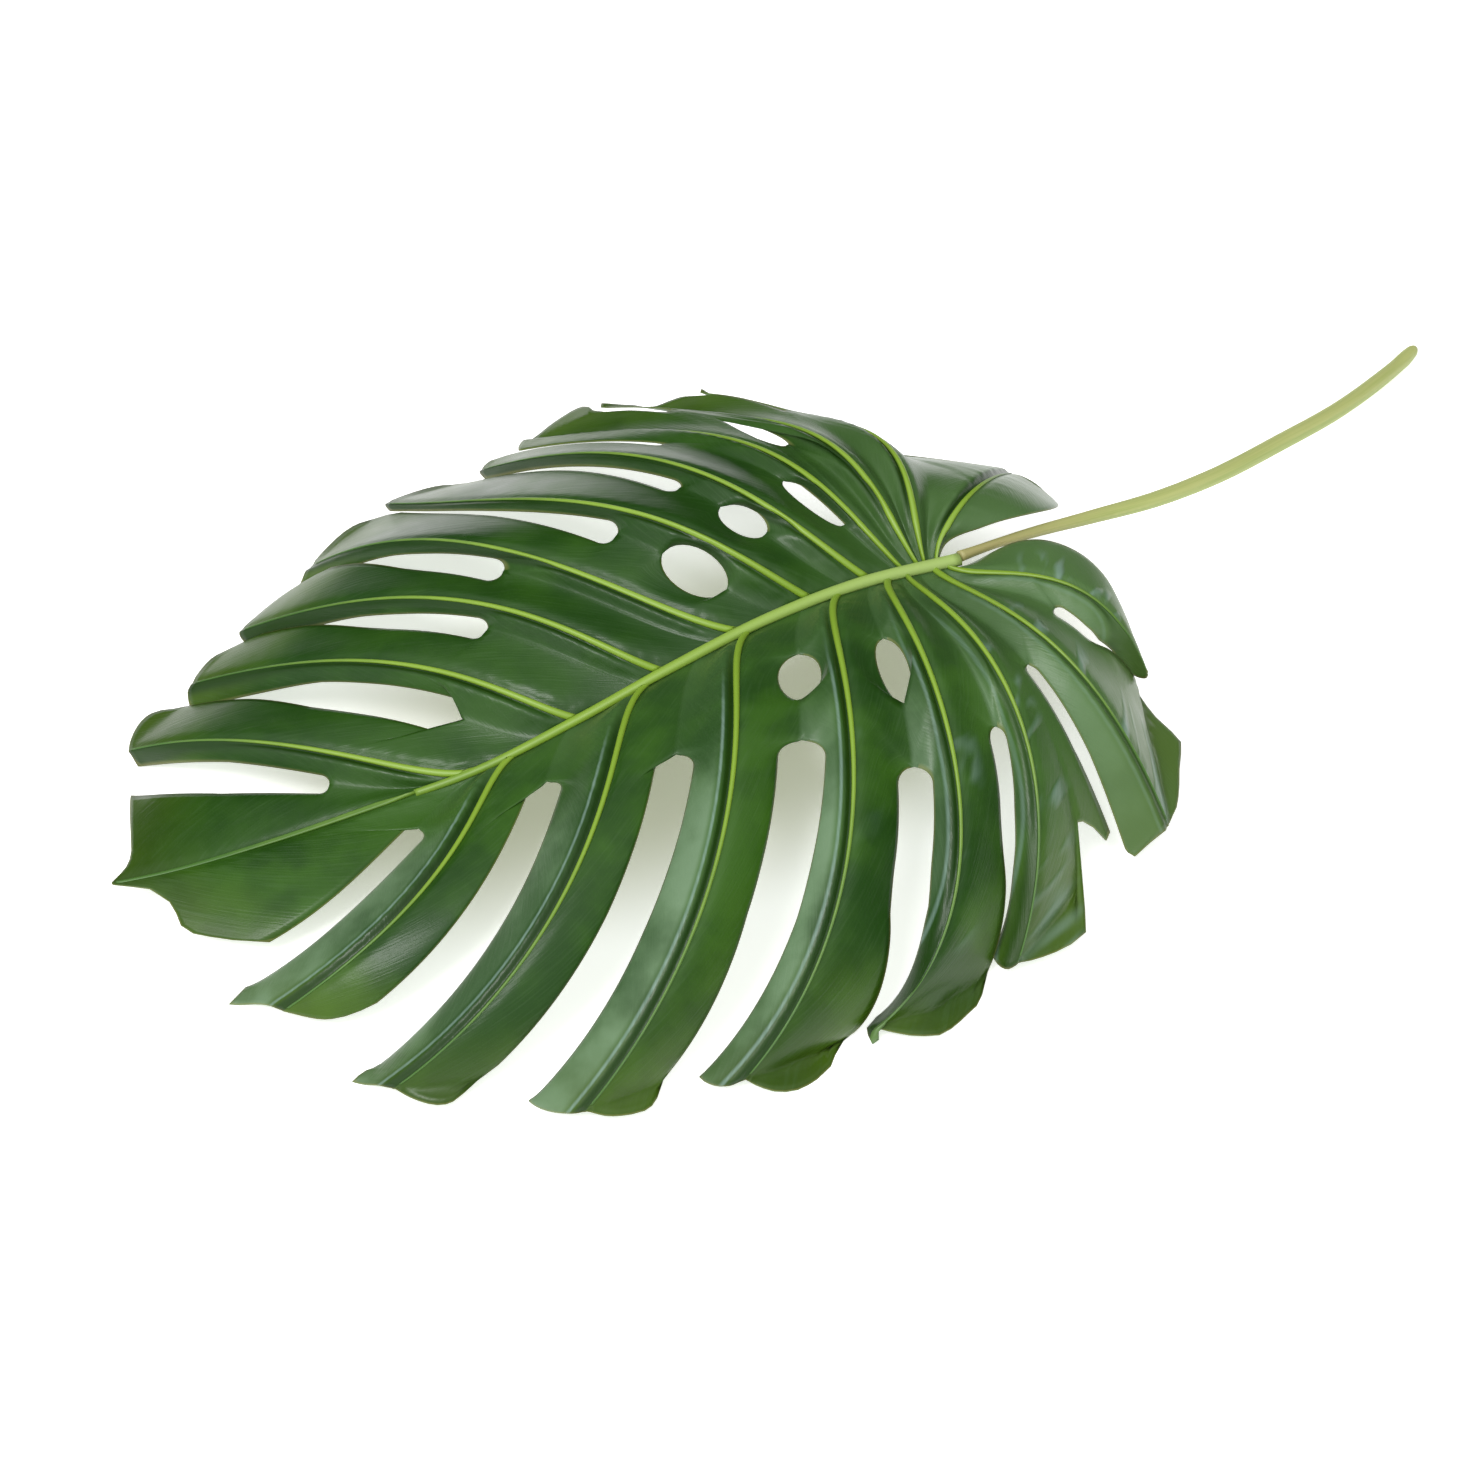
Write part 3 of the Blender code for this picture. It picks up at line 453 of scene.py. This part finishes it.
def lay_out_sheet():
    """The blade as one sheet half way through its thickness: points, what the material knows about
    each, faces, and the columns of each vein (centre, stemward edge, tipward edge) for the ribs."""
    points, facts, faces, ribs, seams = [], [], [], {}, {}
    tip_columns = None
    count = 0
    for side, rows, lines in ((-1, NEAR_VEINS, NEAR_LINES), (1, FAR_VEINS, FAR_LINES)):
        veins = [side_vein(side, row) for row in rows] + [tip_vein]
        seam, before = [], None
        for k in range(len(veins)):
            centre = tip_columns[0] if k == len(rows) and tip_columns else None
            for stemward in (True, False):
                if k == len(rows) and not stemward:
                    continue
                half = HalfLobe(side, veins, rows, lines, k, stemward)
                grid = half.points.shape[:2]
                index = count + np.arange(grid[0] * grid[1]).reshape(grid)
                count += grid[0] * grid[1]
                points.append(half.points.reshape(-1, 3))
                facts.append(half.facts.reshape(-1, len(FACTS)))
                if centre is None:
                    centre = index[:, 0].copy()
                index[:, 0] = centre
                if stemward and before is not None:
                    index[half.closed, -1] = before[half.closed]
                if not stemward:
                    before = index[:, -1]
                ribs.setdefault((side, k), [centre, None, None])[1 if stemward else 2] = index[:, 1]
                ordered = index[:, ::-1] if stemward else index
                seam.extend(ordered[0] if not seam else ordered[0][1:])
                quads = np.stack([ordered[:-1, :-1], ordered[:-1, 1:], ordered[1:, 1:], ordered[1:, :-1]], -1)
                quads = quads.reshape(-1, 4)
                faces.append(quads[:, ::-1] if side > 0 else quads)
        if tip_columns is None:
            tip_columns = ribs[(side, len(rows))]
        seams[side] = seam
    points, facts, quads = np.concatenate(points), np.concatenate(facts), np.concatenate(faces)
    strip = midrib_strip(points, seams[-1], seams[1])
    triangles = np.concatenate([quads[:, [0, 1, 2]], quads[:, [0, 2, 3]], strip])
    a, b, c = triangles.T
    triangles = triangles[(a != b) & (b != c) & (a != c)]
    used, renumbered = np.unique(triangles, return_inverse=True)
    place = np.zeros(len(points), int)
    place[used] = np.arange(len(used))
    ribs = {vein: [place[column] for column in columns if column is not None]
            for vein, columns in ribs.items()}
    return points[used], facts[used], renumbered.reshape(-1, 3), ribs


def point_normals(points, triangles):
    """At each point, the sum of the cross products of its triangles' sides, made unit length."""
    corners = points[triangles]
    across = np.cross(corners[:, 1] - corners[:, 0], corners[:, 2] - corners[:, 0])
    total = np.zeros_like(points)
    for corner in range(3):
        np.add.at(total, triangles[:, corner], across)
    return unit(total)


def thicken(points, triangles, normals, thickness):
    """The closed shell round the sheet: the same triangles above and below, and a rim."""
    count = len(points)
    edges = np.concatenate([triangles[:, [0, 1]], triangles[:, [1, 2]], triangles[:, [2, 0]]])
    forward = edges[:, 0] * count + edges[:, 1]
    rim = edges[~np.isin(forward, edges[:, 1] * count + edges[:, 0])]
    a, b = rim.T
    faces = np.concatenate([triangles, triangles[:, ::-1] + count,
                            np.column_stack([b, a, a + count]),
                            np.column_stack([b, a + count, b + count])])
    above, below = points + normals * thickness / 2, points - normals * thickness / 2
    return np.concatenate([above, below]), faces


def make_piece(name, points, faces, facts, names):
    """A smooth-shaded mesh object at the origin from points in millimetres, with a column of facts
    for each of the names, kept at the points."""
    mesh = bpy.data.meshes.new(name)
    mesh.from_pydata(((np.asarray(points) - ORIGIN) * MM).tolist(), [], np.asarray(faces).tolist())
    mesh.update()
    mesh.polygons.foreach_set("use_smooth", np.ones(len(mesh.polygons), bool))
    for column, fact in enumerate(names):
        attribute = mesh.attributes.new(fact, "FLOAT", "POINT")
        attribute.data.foreach_set("value", facts[:, column].astype(np.float32))
    piece = bpy.data.objects.new(name, mesh)
    bpy.context.scene.collection.objects.link(piece)
    return piece


class Flow:
    """One output of a node. Arithmetic on it adds Math nodes."""

    def __init__(self, bench, socket):
        self.bench = bench
        self.socket = socket

    def math(self, operation, *values):
        return self.bench.node("Math", {"operation": operation}, {n: v for n, v in enumerate(values)})

    def __add__(self, other):
        return self.math("ADD", self, other)

    def __sub__(self, other):
        return self.math("SUBTRACT", self, other)

    def __rsub__(self, other):
        return self.math("SUBTRACT", other, self)

    def __mul__(self, other):
        return self.math("MULTIPLY", self, other)

    def __truediv__(self, other):
        return self.math("DIVIDE", self, other)

    def __pow__(self, other):
        return self.math("POWER", self, other)

    __radd__ = __add__
    __rmul__ = __mul__


class Bench:
    """A material's node tree, with one method that adds any node."""

    def __init__(self, name):
        self.material = bpy.data.materials.new(name)
        self.material.use_nodes = True
        self.tree = self.material.node_tree
        self.shader = self.tree.nodes["Principled BSDF"]

    def node(self, kind, settings=None, sockets=None, output=0):
        """One output of a new node, with its settings made and its sockets filled or linked."""
        made = self.tree.nodes.new("ShaderNode" + kind)
        for setting, value in (settings or {}).items():
            setattr(made, setting, value)
        for socket, value in (sockets or {}).items():
            self.feed(made.inputs[socket], value)
        return Flow(self, made.outputs[output])

    def feed(self, socket, value):
        if isinstance(value, Flow):
            self.tree.links.new(value.socket, socket)
        elif isinstance(value, tuple) and socket.type == "RGBA":
            socket.default_value = (*value, 1)
        else:
            socket.default_value = value

    def fact(self, name):
        """A number that the mesh keeps at its points."""
        return self.node("Attribute", {"attribute_name": name}, output=2)

    def mix(self, factor, one, other):
        return self.node("Mix", {"data_type": "RGBA"}, {0: factor, 6: one, 7: other}, output=2)

    def step(self, value, low, high):
        """0 where the value is under low, 1 over high, smooth between."""
        return self.node("MapRange", {"interpolation_type": "SMOOTHSTEP"}, {0: value, 1: low, 2: high})

    def noise(self, scale, detail, vector=None):
        """Noise over the object's own coordinates, or over the vector."""
        vector = vector or self.place()
        return self.node("TexNoise", {}, {"Vector": vector, "Scale": scale, "Detail": detail})

    def place(self):
        """The object's own coordinates, in metres."""
        return self.node("TexCoord", output=3)

    def finish(self, **inputs):
        """The material, with these inputs of its shader filled or linked."""
        for name, value in inputs.items():
            self.feed(self.shader.inputs[name.replace("_", " ")], value)
        return self.material


sheet, sheet_facts, triangles, rib_columns = lay_out_sheet()
sheet_up = point_normals(sheet, triangles)
shell, shell_faces = thicken(sheet, triangles, sheet_up, BLADE_THICKNESS)
under = np.concatenate([np.zeros(len(sheet)), np.ones(len(sheet))])
shell_facts = np.column_stack([np.concatenate([sheet_facts, sheet_facts]), under])
leaf_blade = make_piece("leaf_blade", shell, shell_faces, shell_facts, FACTS + ("under",))

DEEP_GREEN = (0.009, 0.042, 0.002)
FRESH_GREEN = (0.026, 0.085, 0.004)
GREY_GREEN = (0.060, 0.120, 0.045)
BASE_GREEN = (0.085, 0.160, 0.055)
OLIVE = (0.065, 0.110, 0.005)
# painted shade for the furrows
FURROW_SHADE_GREEN = (0.008, 0.032, 0.002)
STRAW = (0.26, 0.24, 0.08)
UNDER_GREEN = (0.085, 0.16, 0.045)
# painted highlight for the slopes behind the furrows
PANEL_HIGHLIGHT_GREEN = (0.135, 0.215, 0.125)
# painted highlight for the furrows' rims and the rungs
RIM_HIGHLIGHT_GREEN = (0.20, 0.30, 0.26)


def leaf_skin():
    """The blade's waxy green, clouded and finely streaked, paler towards the stalk, with painted shade
    in each furrow and on the far side, painted highlights on a furrow's rim, on the slope behind it and
    on the rungs, and the colours of the cut edges and the underside."""
    skin = Bench("leaf_skin")
    along, across, tipward = skin.fact("along"), skin.fact("across"), skin.fact("tipward")
    from_vein, from_edge, lobe = skin.fact("from_vein"), skin.fact("from_edge"), skin.fact("lobe")
    far_side = skin.fact("far_side")
    near = 1 - far_side
    cloud = skin.noise(9.0, 3.0)
    blotch = skin.noise(38.0, 3.0)
    grain_place = skin.node("CombineXYZ", {}, {0: along * 95 + across * 22, 1: across * 3, 2: lobe * 40})
    grain = skin.noise(1.0, 3.0, grain_place)
    towards_stalk = skin.node("SeparateXYZ", {}, {0: skin.place()})

    colour = skin.mix(skin.step(cloud + (blotch - 0.5) * 0.5, 0.35, 0.68), DEEP_GREEN, FRESH_GREEN)
    # painted shade: the far side is painted darker, towards the deepest green
    colour = skin.mix(far_side * 0.45, colour, DEEP_GREEN)
    by_root = (1 - skin.step(along, 0.02, 0.42)) * (0.2 + 0.3 * tipward) * (1 - far_side * 0.6)
    colour = skin.mix(by_root, colour, GREY_GREEN)
    colour = skin.mix(skin.step(towards_stalk, -0.05, 0.14) * 0.8, colour, BASE_GREEN)
    colour = skin.mix(skin.step(along * 0.9 + (cloud - 0.5) * 0.5, 0.62, 1.0) * 0.5, colour, OLIVE)
    colour = skin.mix((grain - 0.5) * 0.7, colour, GREY_GREEN)

    # painted highlight: on the near side the slope behind a furrow is painted paler and greyer, in mottled
    # patches
    fresh_end = skin.step(towards_stalk, -0.12, 0.08)
    slope = tipward * near * skin.step(from_vein, 6.0, 11.0) * skin.step(along, 0.22, 0.5)
    slope = slope * (1 - fresh_end * 0.7)
    mottle = skin.step(cloud + (blotch - 0.5) * 0.4, 0.35, 0.65)
    colour = skin.mix(slope * (0.25 + mottle * 0.6), colour, PANEL_HIGHLIGHT_GREEN)

    # painted shade: the furrow on the tipward side of a vein is painted the darkest green
    furrow = tipward * (1 - skin.step(from_vein, 3.5, 6.5)) * skin.step(along, 0.03, 0.2)
    colour = skin.mix(furrow * (0.9 - fresh_end * near * 0.4), colour, FURROW_SHADE_GREEN)
    # painted highlight: a pale rim along the furrow's lip on the near side
    rim = tipward * near * skin.step(from_vein, 5.6, 6.6) * (1 - skin.step(from_vein, 6.8, 8.2))
    rim = rim * skin.step(along, 0.12, 0.3) * (0.25 + grain * 0.5) * (1 - fresh_end * 0.7)
    colour = skin.mix(rim, colour, RIM_HIGHLIGHT_GREEN)

    # towards the stalk the near lobes are puckered into rungs on the stemward side of their veins
    rung_place = skin.node("CombineXYZ", {}, {0: along * 17, 1: across * 1.2, 2: lobe * 40})
    rung = skin.step(skin.noise(1.0, 1.0, rung_place), 0.5, 0.72)
    rung = rung * near * fresh_end * (1 - tipward) * skin.step(along, 0.25, 0.4)
    rung = rung * (1 - skin.step(across, 0.3, 0.75))
    # painted highlight: the rungs are painted pale, besides being raised by the bump
    colour = skin.mix(rung * 0.55, colour, RIM_HIGHLIGHT_GREEN)
    colour = skin.mix((1 - skin.step(from_edge, 0.1, 1.1)) * 0.35, colour, STRAW)
    colour = skin.mix(skin.fact("under"), colour, UNDER_GREEN)

    leather = skin.noise(900.0, 2.0)
    crinkle = skin.noise(75.0, 1.0) * (1 - skin.step(along, 0.06, 0.3))
    crinkle = crinkle * (1 - skin.step(from_vein, 6.0, 22.0))
    height = grain * 0.8 + leather * 0.25 + crinkle * 9 + rung * 5
    bump = skin.node("Bump", {}, {"Strength": 0.35, "Distance": 0.0006, "Height": height})
    return skin.finish(Base_Color=colour, Roughness=0.33 + (blotch - 0.5) * 0.2, Normal=bump,
                       Specular_IOR_Level=0.27)


leaf_blade.data.materials.append(leaf_skin())
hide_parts("blade")
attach(leaf_blade, "root")

# Ribs. The midrib and the side veins are the leaf's pipes, yellow-green and smooth, and they stand
# out of the blade's upper face. Each side vein runs out of the midrib at a slant and thins to
# nothing at its lobe's end.
RIB_ROOT_HEIGHT = 2.0
RIB_END_HEIGHT = 0.5
RIB_GAP = 0.05           # between the blade's upper face and the foot of a side vein
MIDRIB_LEVEL = 0.35      # the foot of the midrib, above the midrib's line
KNOB_START = -5          # where the midrib's swollen end starts, from the blade's base


def tube(sections):
    """A closed tube through sections that have the same number of points, counter-clockwise as seen
    from the tube's far end, with a fan over each end."""
    sections = np.asarray(sections)
    rings, around = sections.shape[:2]
    index = np.arange(rings * around).reshape(rings, around)
    turned = np.roll(index, -1, axis=1)
    quads = np.stack([index[:-1], turned[:-1], turned[1:], index[1:]], -1).reshape(-1, 4)
    middle = np.array([rings * around, rings * around + 1])
    points = np.concatenate([sections.reshape(-1, 3), [sections[0].mean(0), sections[-1].mean(0)]])
    faces = np.concatenate([quads[:, [0, 1, 2]], quads[:, [0, 2, 3]],
                            np.column_stack([np.full(around, middle[0]), turned[0], index[0]]),
                            np.column_stack([np.full(around, middle[1]), index[-1], turned[-1]])])
    return points, faces


def midrib_part():
    """The midrib up to the lobe at the tip, as a tube and its facts."""
    distances = np.concatenate([[KNOB_START], np.linspace(0, TIP_LOBE_FROM - 4, 160)])
    centre = midrib_at(distances)
    half = midrib_half_at(distances)[:, None]
    crown = 0.85 * half + 0.9
    turn = np.linspace(0, np.pi, 15)
    sideways = np.concatenate([[0.0], np.cos(turn)])
    upward = np.concatenate([[0.0], np.sin(turn) ** 0.8])
    rings = np.stack([centre[:, :1] + 0 * half * sideways,
                      centre[:, 1:2] - half * sideways,
                      centre[:, 2:] + MIDRIB_LEVEL + crown * upward], -1)
    # on the midrib both facts are the distance, which makes its pale start fade out sooner
    distance = np.repeat(distances / BLADE_END, rings.shape[1])
    return tube(rings[:, ::-1]), np.column_stack([distance, distance])


def side_rib_part(side, k, columns):
    """The rib over one vein, from the sheet's columns at its centre and its two edges."""
    rows = NEAR_VEINS if side < 0 else FAR_VEINS
    at_tip = k == len(rows)
    middle, left, right = [column[:-1] for column in columns]
    share = np.linspace(0, 1, len(middle))[:, None]
    up = sheet_up[middle]
    floor = (BLADE_THICKNESS / 2 + RIB_GAP) * up
    height = RIB_ROOT_HEIGHT * (1 - share) ** 1.2 + RIB_END_HEIGHT
    low_left, low_right, low_middle = sheet[left] + floor, sheet[right] + floor, sheet[middle] + floor
    ring = [low_middle]
    for angle in np.linspace(0, np.pi, 11):
        foot = low_left if np.cos(angle) > 0 else low_right
        raised = up * height * np.sin(angle) ** 0.8
        ring.append(low_middle + (foot - low_middle) * abs(np.cos(angle)) + raised)
    ring = np.stack(ring, 1)
    # one more ring carries the root into the midrib
    if at_tip:
        inward = np.array([6, -0.8, 1.4])
    else:
        inward = np.array([0, -side * 0.6 * midrib_half_at(rows[k][0]), 0.25])
    ring = np.concatenate([[ring[0] + inward], ring])
    if side > 0:
        ring = np.concatenate([ring[:, :1], ring[:, :0:-1]], 1)
    along = np.concatenate([[[0.0]], share])[:, 0]
    if at_tip:
        # the rib of the tip lobe takes its colour on from the midrib's end
        along = 0.7 + 0.3 * along
    along = np.repeat(along, ring.shape[1])
    return tube(ring), np.column_stack([along, np.ones(len(along))])


# the rib of the tip lobe takes its two edges from the two sides
far_tip = rib_columns.pop((1, len(FAR_VEINS)))
rib_columns[(-1, len(NEAR_VEINS))].append(far_tip[1])
rib_parts = [midrib_part()]
for (side, k), columns in rib_columns.items():
    rib_parts.append(side_rib_part(side, k, columns))
rib_points, rib_faces, rib_facts, count = [], [], [], 0
for (points, faces), facts in rib_parts:
    rib_points.append(points)
    rib_faces.append(faces + count)
    rib_facts.append(np.concatenate([facts, facts[:1], facts[-1:]]))
    count += len(points)
leaf_ribs = make_piece("leaf_ribs", np.concatenate(rib_points), np.concatenate(rib_faces),
                       np.concatenate(rib_facts), ("along", "side_vein"))

VEIN_GREEN = (0.18, 0.30, 0.022)
VEIN_END_GREEN = (0.045, 0.125, 0.014)
MIDRIB_PALE = (0.31, 0.43, 0.12)


def vein_skin():
    """Yellow-green, darker towards a vein's end, and pale on the midrib near the stalk."""
    skin = Bench("vein_skin")
    along, is_side = skin.fact("along"), skin.fact("side_vein")
    streak = skin.noise(60.0, 3.0)
    darker = skin.step(along + (streak - 0.5) * 0.2, 0.42, 0.95)
    colour = skin.mix(darker, VEIN_GREEN, VEIN_END_GREEN)
    colour = skin.mix((1 - is_side) * (1 - skin.step(along, 0.0, 0.5)), colour, MIDRIB_PALE)
    bump = skin.node("Bump", {}, {"Strength": 0.2, "Distance": 0.0004, "Height": streak})
    return skin.finish(Base_Color=colour, Roughness=0.38 + streak * 0.1, Normal=bump)


leaf_ribs.data.materials.append(vein_skin())
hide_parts("ribs")
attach(leaf_ribs, "root")

# Stalk. A round, solid, fibrous stem, pale olive with a brownish pink flush where it swells into the
# blade. It was cut off square, curves away to the far side and lies on its cut end.
STALK = ((6.3, 3, 79), (32, 7.5, 75.5), (60, 11, 71.5), (100, 16, 64), (150, 24, 53.5), (200, 38, 42.5),
         (260, 60.5, 30), (320, 85, 17.6), (360, 105, 9.8), (392, 123, 3.9), (406, 131, 3.1))
STALK_RADIUS = ((6.3, 3.4), (20, 2.9), (60, 3.3), (110, 4.3), (200, 5.2), (320, 5.2), (380, 4.8),
                (399, 4.3), (403.5, 3.5), (405.5, 2.4))
STALK_SIDES = 48
# The rings lie close together where the cut end is rounded off.
STALK_STATIONS = np.concatenate([np.linspace(STALK[0][0], 390, 150), np.linspace(392, 405.5, 14)])


def stalk_part():
    """The stalk as a tube, and at each point its share along and which way it faces."""
    path = np.column_stack([STALK_STATIONS, smooth(STALK_STATIONS, STALK)])
    radius = smooth(STALK_STATIONS, STALK_RADIUS)[:, 0]
    ahead = unit(np.gradient(path, axis=0))
    sideways = unit(np.cross([0, 0, 1], ahead))
    upward = np.cross(ahead, sideways)
    turn = np.linspace(0, 2 * np.pi, STALK_SIDES, endpoint=False)[None, :, None]
    rings = (path[:, None] + radius[:, None, None]
             * (np.cos(turn) * sideways[:, None] + np.sin(turn) * upward[:, None]))
    rings[..., 2] = np.maximum(rings[..., 2], 0)
    share = (STALK_STATIONS - STALK_STATIONS[0]) / (STALK_STATIONS[-1] - STALK_STATIONS[0])
    facts = np.column_stack([np.repeat(share, STALK_SIDES), np.tile(np.cos(turn.ravel()), len(share)),
                             np.tile(np.sin(turn.ravel()), len(share))])
    return tube(rings), np.concatenate([facts, [[0, 0, 0], [1, 0, 0]]])


(points, faces), facts = stalk_part()
leaf_stalk = make_piece("leaf_stalk", points, faces, facts, ("along", "sideways", "upward"))

STALK_GREEN = (0.27, 0.34, 0.085)
# paler olive for the fibres and for the painted light on the stalk's top
STALK_PALE_AND_TOP_LIGHT = (0.39, 0.42, 0.15)
STALK_FLUSH = (0.30, 0.24, 0.10)


def stalk_skin():
    """Paler olive on top as painted light and greener below as painted shade, streaked along its whole
    length, flushed at the blade.
    """
    skin = Bench("stalk_skin")
    along, sideways, upward = skin.fact("along"), skin.fact("sideways"), skin.fact("upward")
    # streaks run the whole length, each a few degrees wide
    fibre_place = skin.node("CombineXYZ", {}, {0: along * 5, 1: sideways * 4, 2: upward * 4})
    fibre = skin.noise(1.0, 3.0, fibre_place)
    cloud = skin.noise(14.0, 3.0)
    # painted light: the stalk's top is painted paler and its underside greener
    painted_top_light = skin.step(upward + (fibre - 0.5) * 1.4, -0.1, 0.9)
    colour = skin.mix(painted_top_light * 0.6 + skin.step(fibre, 0.35, 0.65) * 0.4, STALK_GREEN, STALK_PALE_AND_TOP_LIGHT)
    colour = skin.mix((1 - skin.step(along, 0.04, 0.34)) * (0.35 + fibre * 0.6), colour, STALK_FLUSH)
    bump = skin.node("Bump", {}, {"Strength": 0.3, "Distance": 0.0005, "Height": fibre})
    return skin.finish(Base_Color=colour, Roughness=0.45 + cloud * 0.1, Normal=bump)


leaf_stalk.data.materials.append(stalk_skin())
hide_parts("stalk")
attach(leaf_stalk, "root")

# Ground, light and camera. The leaf lies on a plain white sheet under broad soft light, seen from
# 46 degrees above the ground and 24 degrees to the left of straight on.
GROUND_HALF = 40
PAPER_WHITE = (0.92, 0.92, 0.92)
OPEN_GLOW = (0.62, 0.62, 0.61)
# Painted shadow: the sheet's glow is dimmer and warmer under the leaf's arch, in an oval along the midrib.
PAINTED_SHADOW_GLOW = (0.27, 0.26, 0.20)
SHADOW_OVAL_MIDDLE = (-0.12, 0.01)
SHADOW_OVAL_RADII = (0.30, 0.15)


def white_paper():
    """Matt white, with a glow of its own that keeps it white in the picture, dimmed in an oval under the leaf
    as a painted shadow.
    """
    paper = Bench("ground_white")
    squares = []
    for axis, (middle, radius) in enumerate(zip(SHADOW_OVAL_MIDDLE, SHADOW_OVAL_RADII)):
        spot = paper.node("SeparateXYZ", {}, {0: paper.place()}, output=axis)
        squares.append(((spot - middle) / radius) ** 2.0)
    # painted shadow: the glow dims and warms in the oval under the leaf
    glow = paper.mix(paper.step(squares[0] + squares[1], 0.15, 1.1), PAINTED_SHADOW_GLOW, OPEN_GLOW)
    return paper.finish(Base_Color=PAPER_WHITE, Roughness=0.9, Emission_Color=glow,
                        Emission_Strength=1.0)


corners = [(x * GROUND_HALF, y * GROUND_HALF, 0) for x, y in ((-1, -1), (1, -1), (1, 1), (-1, 1))]
mesh = bpy.data.meshes.new("ground")
mesh.from_pydata(corners, [], [(0, 1, 2, 3)])
mesh.materials.append(white_paper())
ground = bpy.data.objects.new("ground", mesh)
bpy.context.scene.collection.objects.link(ground)

# The sky is brightest high up on the near left side, and dim behind the leaf.
BRIGHT_SIDE = (-0.37, -0.40, 0.84)
SKY_STRENGTHS = {"From Min": 0.1, "From Max": 0.95, "To Min": 0.07, "To Max": 1.55}
world = bpy.data.worlds.new("studio")
world.use_nodes = True
sky = world.node_tree.nodes
towards = sky.new("ShaderNodeVectorMath")
towards.operation = "DOT_PRODUCT"
towards.inputs[1].default_value = BRIGHT_SIDE
brighter = sky.new("ShaderNodeMapRange")
for socket, value in SKY_STRENGTHS.items():
    brighter.inputs[socket].default_value = value
world.node_tree.links.new(sky.new("ShaderNodeTexCoord").outputs["Generated"], towards.inputs[0])
world.node_tree.links.new(towards.outputs["Value"], brighter.inputs["Value"])
world.node_tree.links.new(brighter.outputs["Result"], sky["Background"].inputs["Strength"])
sky["Background"].inputs["Color"].default_value = (1, 1, 1, 1)
bpy.context.scene.world = world
bpy.context.scene.view_settings.view_transform = "Standard"

LIGHTS_AIM = (-0.15, 0, 0.05)


def soft_light(name, place, size, power):
    """A round area light, turned towards the blade."""
    lamp = bpy.data.lights.new(name, "AREA")
    lamp.shape = "DISK"
    lamp.size = size
    lamp.energy = power
    held = bpy.data.objects.new(name, lamp)
    bpy.context.scene.collection.objects.link(held)
    held.location = place
    away = Vector(place) - Vector(LIGHTS_AIM)
    held.rotation_euler = away.to_track_quat("Z", "Y").to_euler()


soft_light("key", (-1.3, -0.7, 2.4), 1.1, 42)
soft_light("back", (-1.0, 2.4, 2.6), 1.2, 3)

ELEVATION, AZIMUTH = np.radians(46), np.radians(-24)
DISTANCE, LENS, SENSOR = 2.0, 85, 36
FRAME_WIDTH, FRAME_HEIGHT = 1464, 1462
BASE_AT = (952, 564)     # where the blade's base lies in the photograph
back = np.array([np.sin(AZIMUTH) * np.cos(ELEVATION), -np.cos(AZIMUTH) * np.cos(ELEVATION),
                 np.sin(ELEVATION)])
right = np.array([np.cos(AZIMUTH), np.sin(AZIMUTH), 0])
up = np.cross(back, right)
focal = LENS / SENSOR * FRAME_WIDTH
blade_base = (np.array([0, 0, MIDRIB[0][2]]) - ORIGIN) * MM
place = (blade_base + DISTANCE * back - DISTANCE * (BASE_AT[0] - FRAME_WIDTH / 2) / focal * right
         + DISTANCE * (BASE_AT[1] - FRAME_HEIGHT / 2) / focal * up)
camera = bpy.data.objects.new("camera", bpy.data.cameras.new("camera"))
camera.data.lens = LENS
camera.data.sensor_width = SENSOR
camera.data.sensor_fit = "HORIZONTAL"
turned = np.column_stack([right, up, back, place])
camera.matrix_world = Matrix([*turned.tolist(), (0, 0, 0, 1)])
bpy.context.scene.collection.objects.link(camera)
bpy.context.scene.camera = camera
